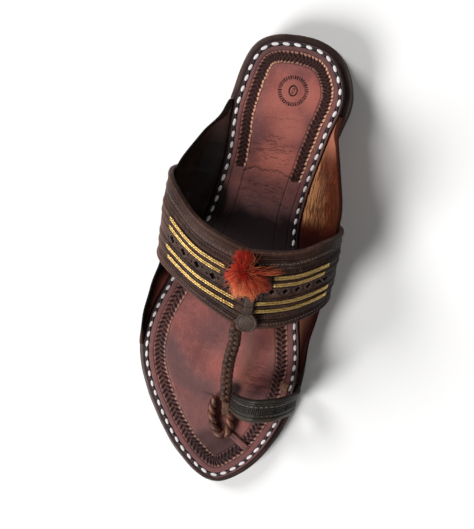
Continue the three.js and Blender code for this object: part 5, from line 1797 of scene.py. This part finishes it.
def hairPaths(rng):  # heading, climb, length, paleness, bend, and the lock's heading and climb
    hairs = []
    palest, reach = tassel["palest"]
    for low, high, count, climb, climbSpread, length, lengthSpread, pale in tassel["fans"]:
        heading = rng.uniform(low, high, count) + rng.normal(0, 2, count)
        lock = np.round(heading / tassel["lockWidth"])
        lockHeading = (lock + 0.3 * np.sin(lock * 2.7 + climb)) * tassel["lockWidth"]
        lockClimb = climb + climbSpread * 0.6 * np.sin(lock * 1.9 + climb)
        front = np.clip(np.cos(np.radians(heading + 86)), 0, 1)
        long = length * (1 + 0.17 * front * (pale > 0.3)) * (1 + 0.07 * np.sin(lock * 4.1 + climb))
        lobed = sum(np.exp(-(((heading - at) / wide) ** 2)) for at, wide in tassel["lobes"])
        long = long * (1 - (heading < 6) * 0.24 * (1 - np.clip(lobed, 0, 1)))
        long = long - np.abs(rng.normal(0, lengthSpread, count))
        # painted highlight: hairs that face the lamp are paler
        facing = 0.35 + 0.65 * np.exp(-(((heading - palest) / reach) ** 2))
        paleness = np.clip(pale * (facing + rng.normal(0, 0.2, count)), 0, 1)
        bend = 0.5 * np.sin(lock * 3.3) + rng.normal(0, 0.75, count)
        own = climb + rng.normal(0, climbSpread, count)
        hairs.append(np.stack([heading, own, long, paleness, bend, lockHeading, lockClimb], axis=1))
    count = tassel["strays"]
    heading, climb = rng.uniform(-190, 140, count), rng.uniform(0, 60, count)
    length, paleness = rng.uniform(9, 16.5, count), rng.uniform(0.1, 0.8, count)
    bend = rng.normal(0, 2.2, count)
    hairs.append(np.stack([heading, climb, length, paleness, bend, heading, climb], axis=1))
    return np.concatenate(hairs).T


def aim(heading, climb):  # a direction from its two angles
    heading, climb = np.radians(heading), np.radians(climb)
    return joined(np.cos(climb) * np.cos(heading), np.cos(climb) * np.sin(heading), np.sin(climb))


def hairLines(rng, t, heading, climb, length, bend, lockHeading, lockClimb):  # (hairs, steps, 3)
    count = len(heading)
    own, lock = aim(heading, climb)[:, None], aim(lockHeading, lockClimb)[:, None]
    gather = (smooth((t - 0.2) / 0.8) * tassel["gather"])[..., None]
    path = (own * (1 - gather) + lock * gather) * (t * length[:, None])[..., None]
    aside = bend[:, None] * np.sin(t * 2.6) * t * tassel["bend"]
    aside = aside + tassel["wave"] * np.sin(t * 7 + rng.uniform(0, 6, count)[:, None]) * t
    path = path + unit(np.cross(own, (0, 0, 1.0))) * aside[..., None]
    front = smooth((0.3 - np.sin(np.radians(heading))) / 0.6)[:, None]
    path[..., 1] -= front * t**2 * length[:, None] * tassel["overToe"]
    path[..., 2] -= tassel["droop"] * t**2 * np.clip(length[:, None] / 14, 0, 1.2)
    path[..., 2] = np.maximum(path[..., 2], tassel["lowest"] + 0.5 * rng.random(count)[:, None])
    return path + rng.normal(0, tassel["scatter"], (count, 1, 3)) * (1 - t)[..., None]


def makeTassel(material):
    rng, hair, core = np.random.default_rng(23), tassel["hair"], tassel["core"]
    seat, axes = standing(*tassel["root"], brassTop + tassel["rootHeight"])
    heading, climb, length, pale, bend, lockHeading, lockClimb = hairPaths(rng)
    count, steps, sides = len(heading), hair["steps"], hair["sides"]
    t = np.linspace(0.0, 1, steps)[None, :]
    path = hairLines(rng, t, heading, climb, length, bend, lockHeading, lockClimb)
    radius = hair["radius"] * (1 - hair["taper"] * t**2) * rng.uniform(0.8, 1.15, count)[:, None]
    rings = ringsAround(path, ovals(radius[..., None], circle(sides)), (0.1, 0.05, 1.0))
    start = (np.arange(count) * steps * sides)[:, None, None]
    quads = gridFaces(steps, sides, wrapColumns=True)[:, ::-1]
    ends = np.stack([np.arange(sides), np.arange(sides)[::-1] + (steps - 1) * sides])
    faces = [face for part in (quads, ends) for face in (part + start).reshape(-1, part.shape[1])]
    values = {"tip": t[..., None], "pale": pale[:, None, None], "tint": rng.random(count)[:, None, None]}
    marks = {mark: np.broadcast_to(value, (count, steps, sides)) for mark, value in values.items()}
    makePiece("tassel_hair", seat + rings @ axes, faces, material, "tassel_thread", ["tassel"], marks)
    u, v = np.linspace(0.08, math.pi - 0.08, core["rows"])[:, None], circle(core["columns"])
    wide, high = core["wide"] * np.sin(u), core["high"] * np.cos(u) - core["drop"]
    ball = seat + joined(wide * np.cos(v), wide * np.sin(v), high) @ axes
    faces = tubeFaces(core["rows"], core["columns"])
    makePiece("tassel_core", ball, faces, material, "tassel_thread", ["tassel"])


def woolFinish():
    made = Finish("tasselWool")
    tip, pale, tint = made.mark("tip"), made.mark("pale"), made.mark("tint")
    reach = made.between(made.calculate("ADD", tip, made.calculate("MULTIPLY", tint, 0.2)), 0.2, 0.95)
    tone = made.blend(reach, (0.13, 0.005, 0.005), (0.52, 0.028, 0.012))
    # paler tips, partly painted highlight on the hairs that face the lamp
    paleAndLit = made.calculate("MULTIPLY", pale, made.between(tip, 0.2, 0.85), True)
    tone = made.blend(paleAndLit, tone, (1.0, 0.36, 0.15))
    tone = made.blend(made.calculate("MULTIPLY", tint, 0.45), tone, (0.2, 0.008, 0.007))
    return made.finish({"Base Color": tone, "Roughness": 0.6, "Specular IOR Level": 0.15})


rosetteLook = {"cloud": 8, "grain": 0.7, "rough": (0.42, 0.6), "coat": 0.03, "shine": 0.18, "mottle": 0.5}
rosetteColours = (0.016, 0.009, 0.008), (0.036, 0.02, 0.017), (0.09, 0.055, 0.046)
coinColours = (0.036, 0.021, 0.016), (0.088, 0.055, 0.043), (0.2, 0.14, 0.11)
brassFinish = metalFinish("brassPlate", (0.72, 0.5, 0.2), (0.3, 0.17, 0.06), 0.28)
makeRosette(leather("rosetteLeather", rosetteColours, rosetteLook))
makeBrassDisc(brassFinish)
makeCoinTab(leather("coinLeather", coinColours, rosetteLook))
makeTasselRing(brassFinish)
makeTassel(woolFinish())
print("ornament is made")


print("sandal is finished")
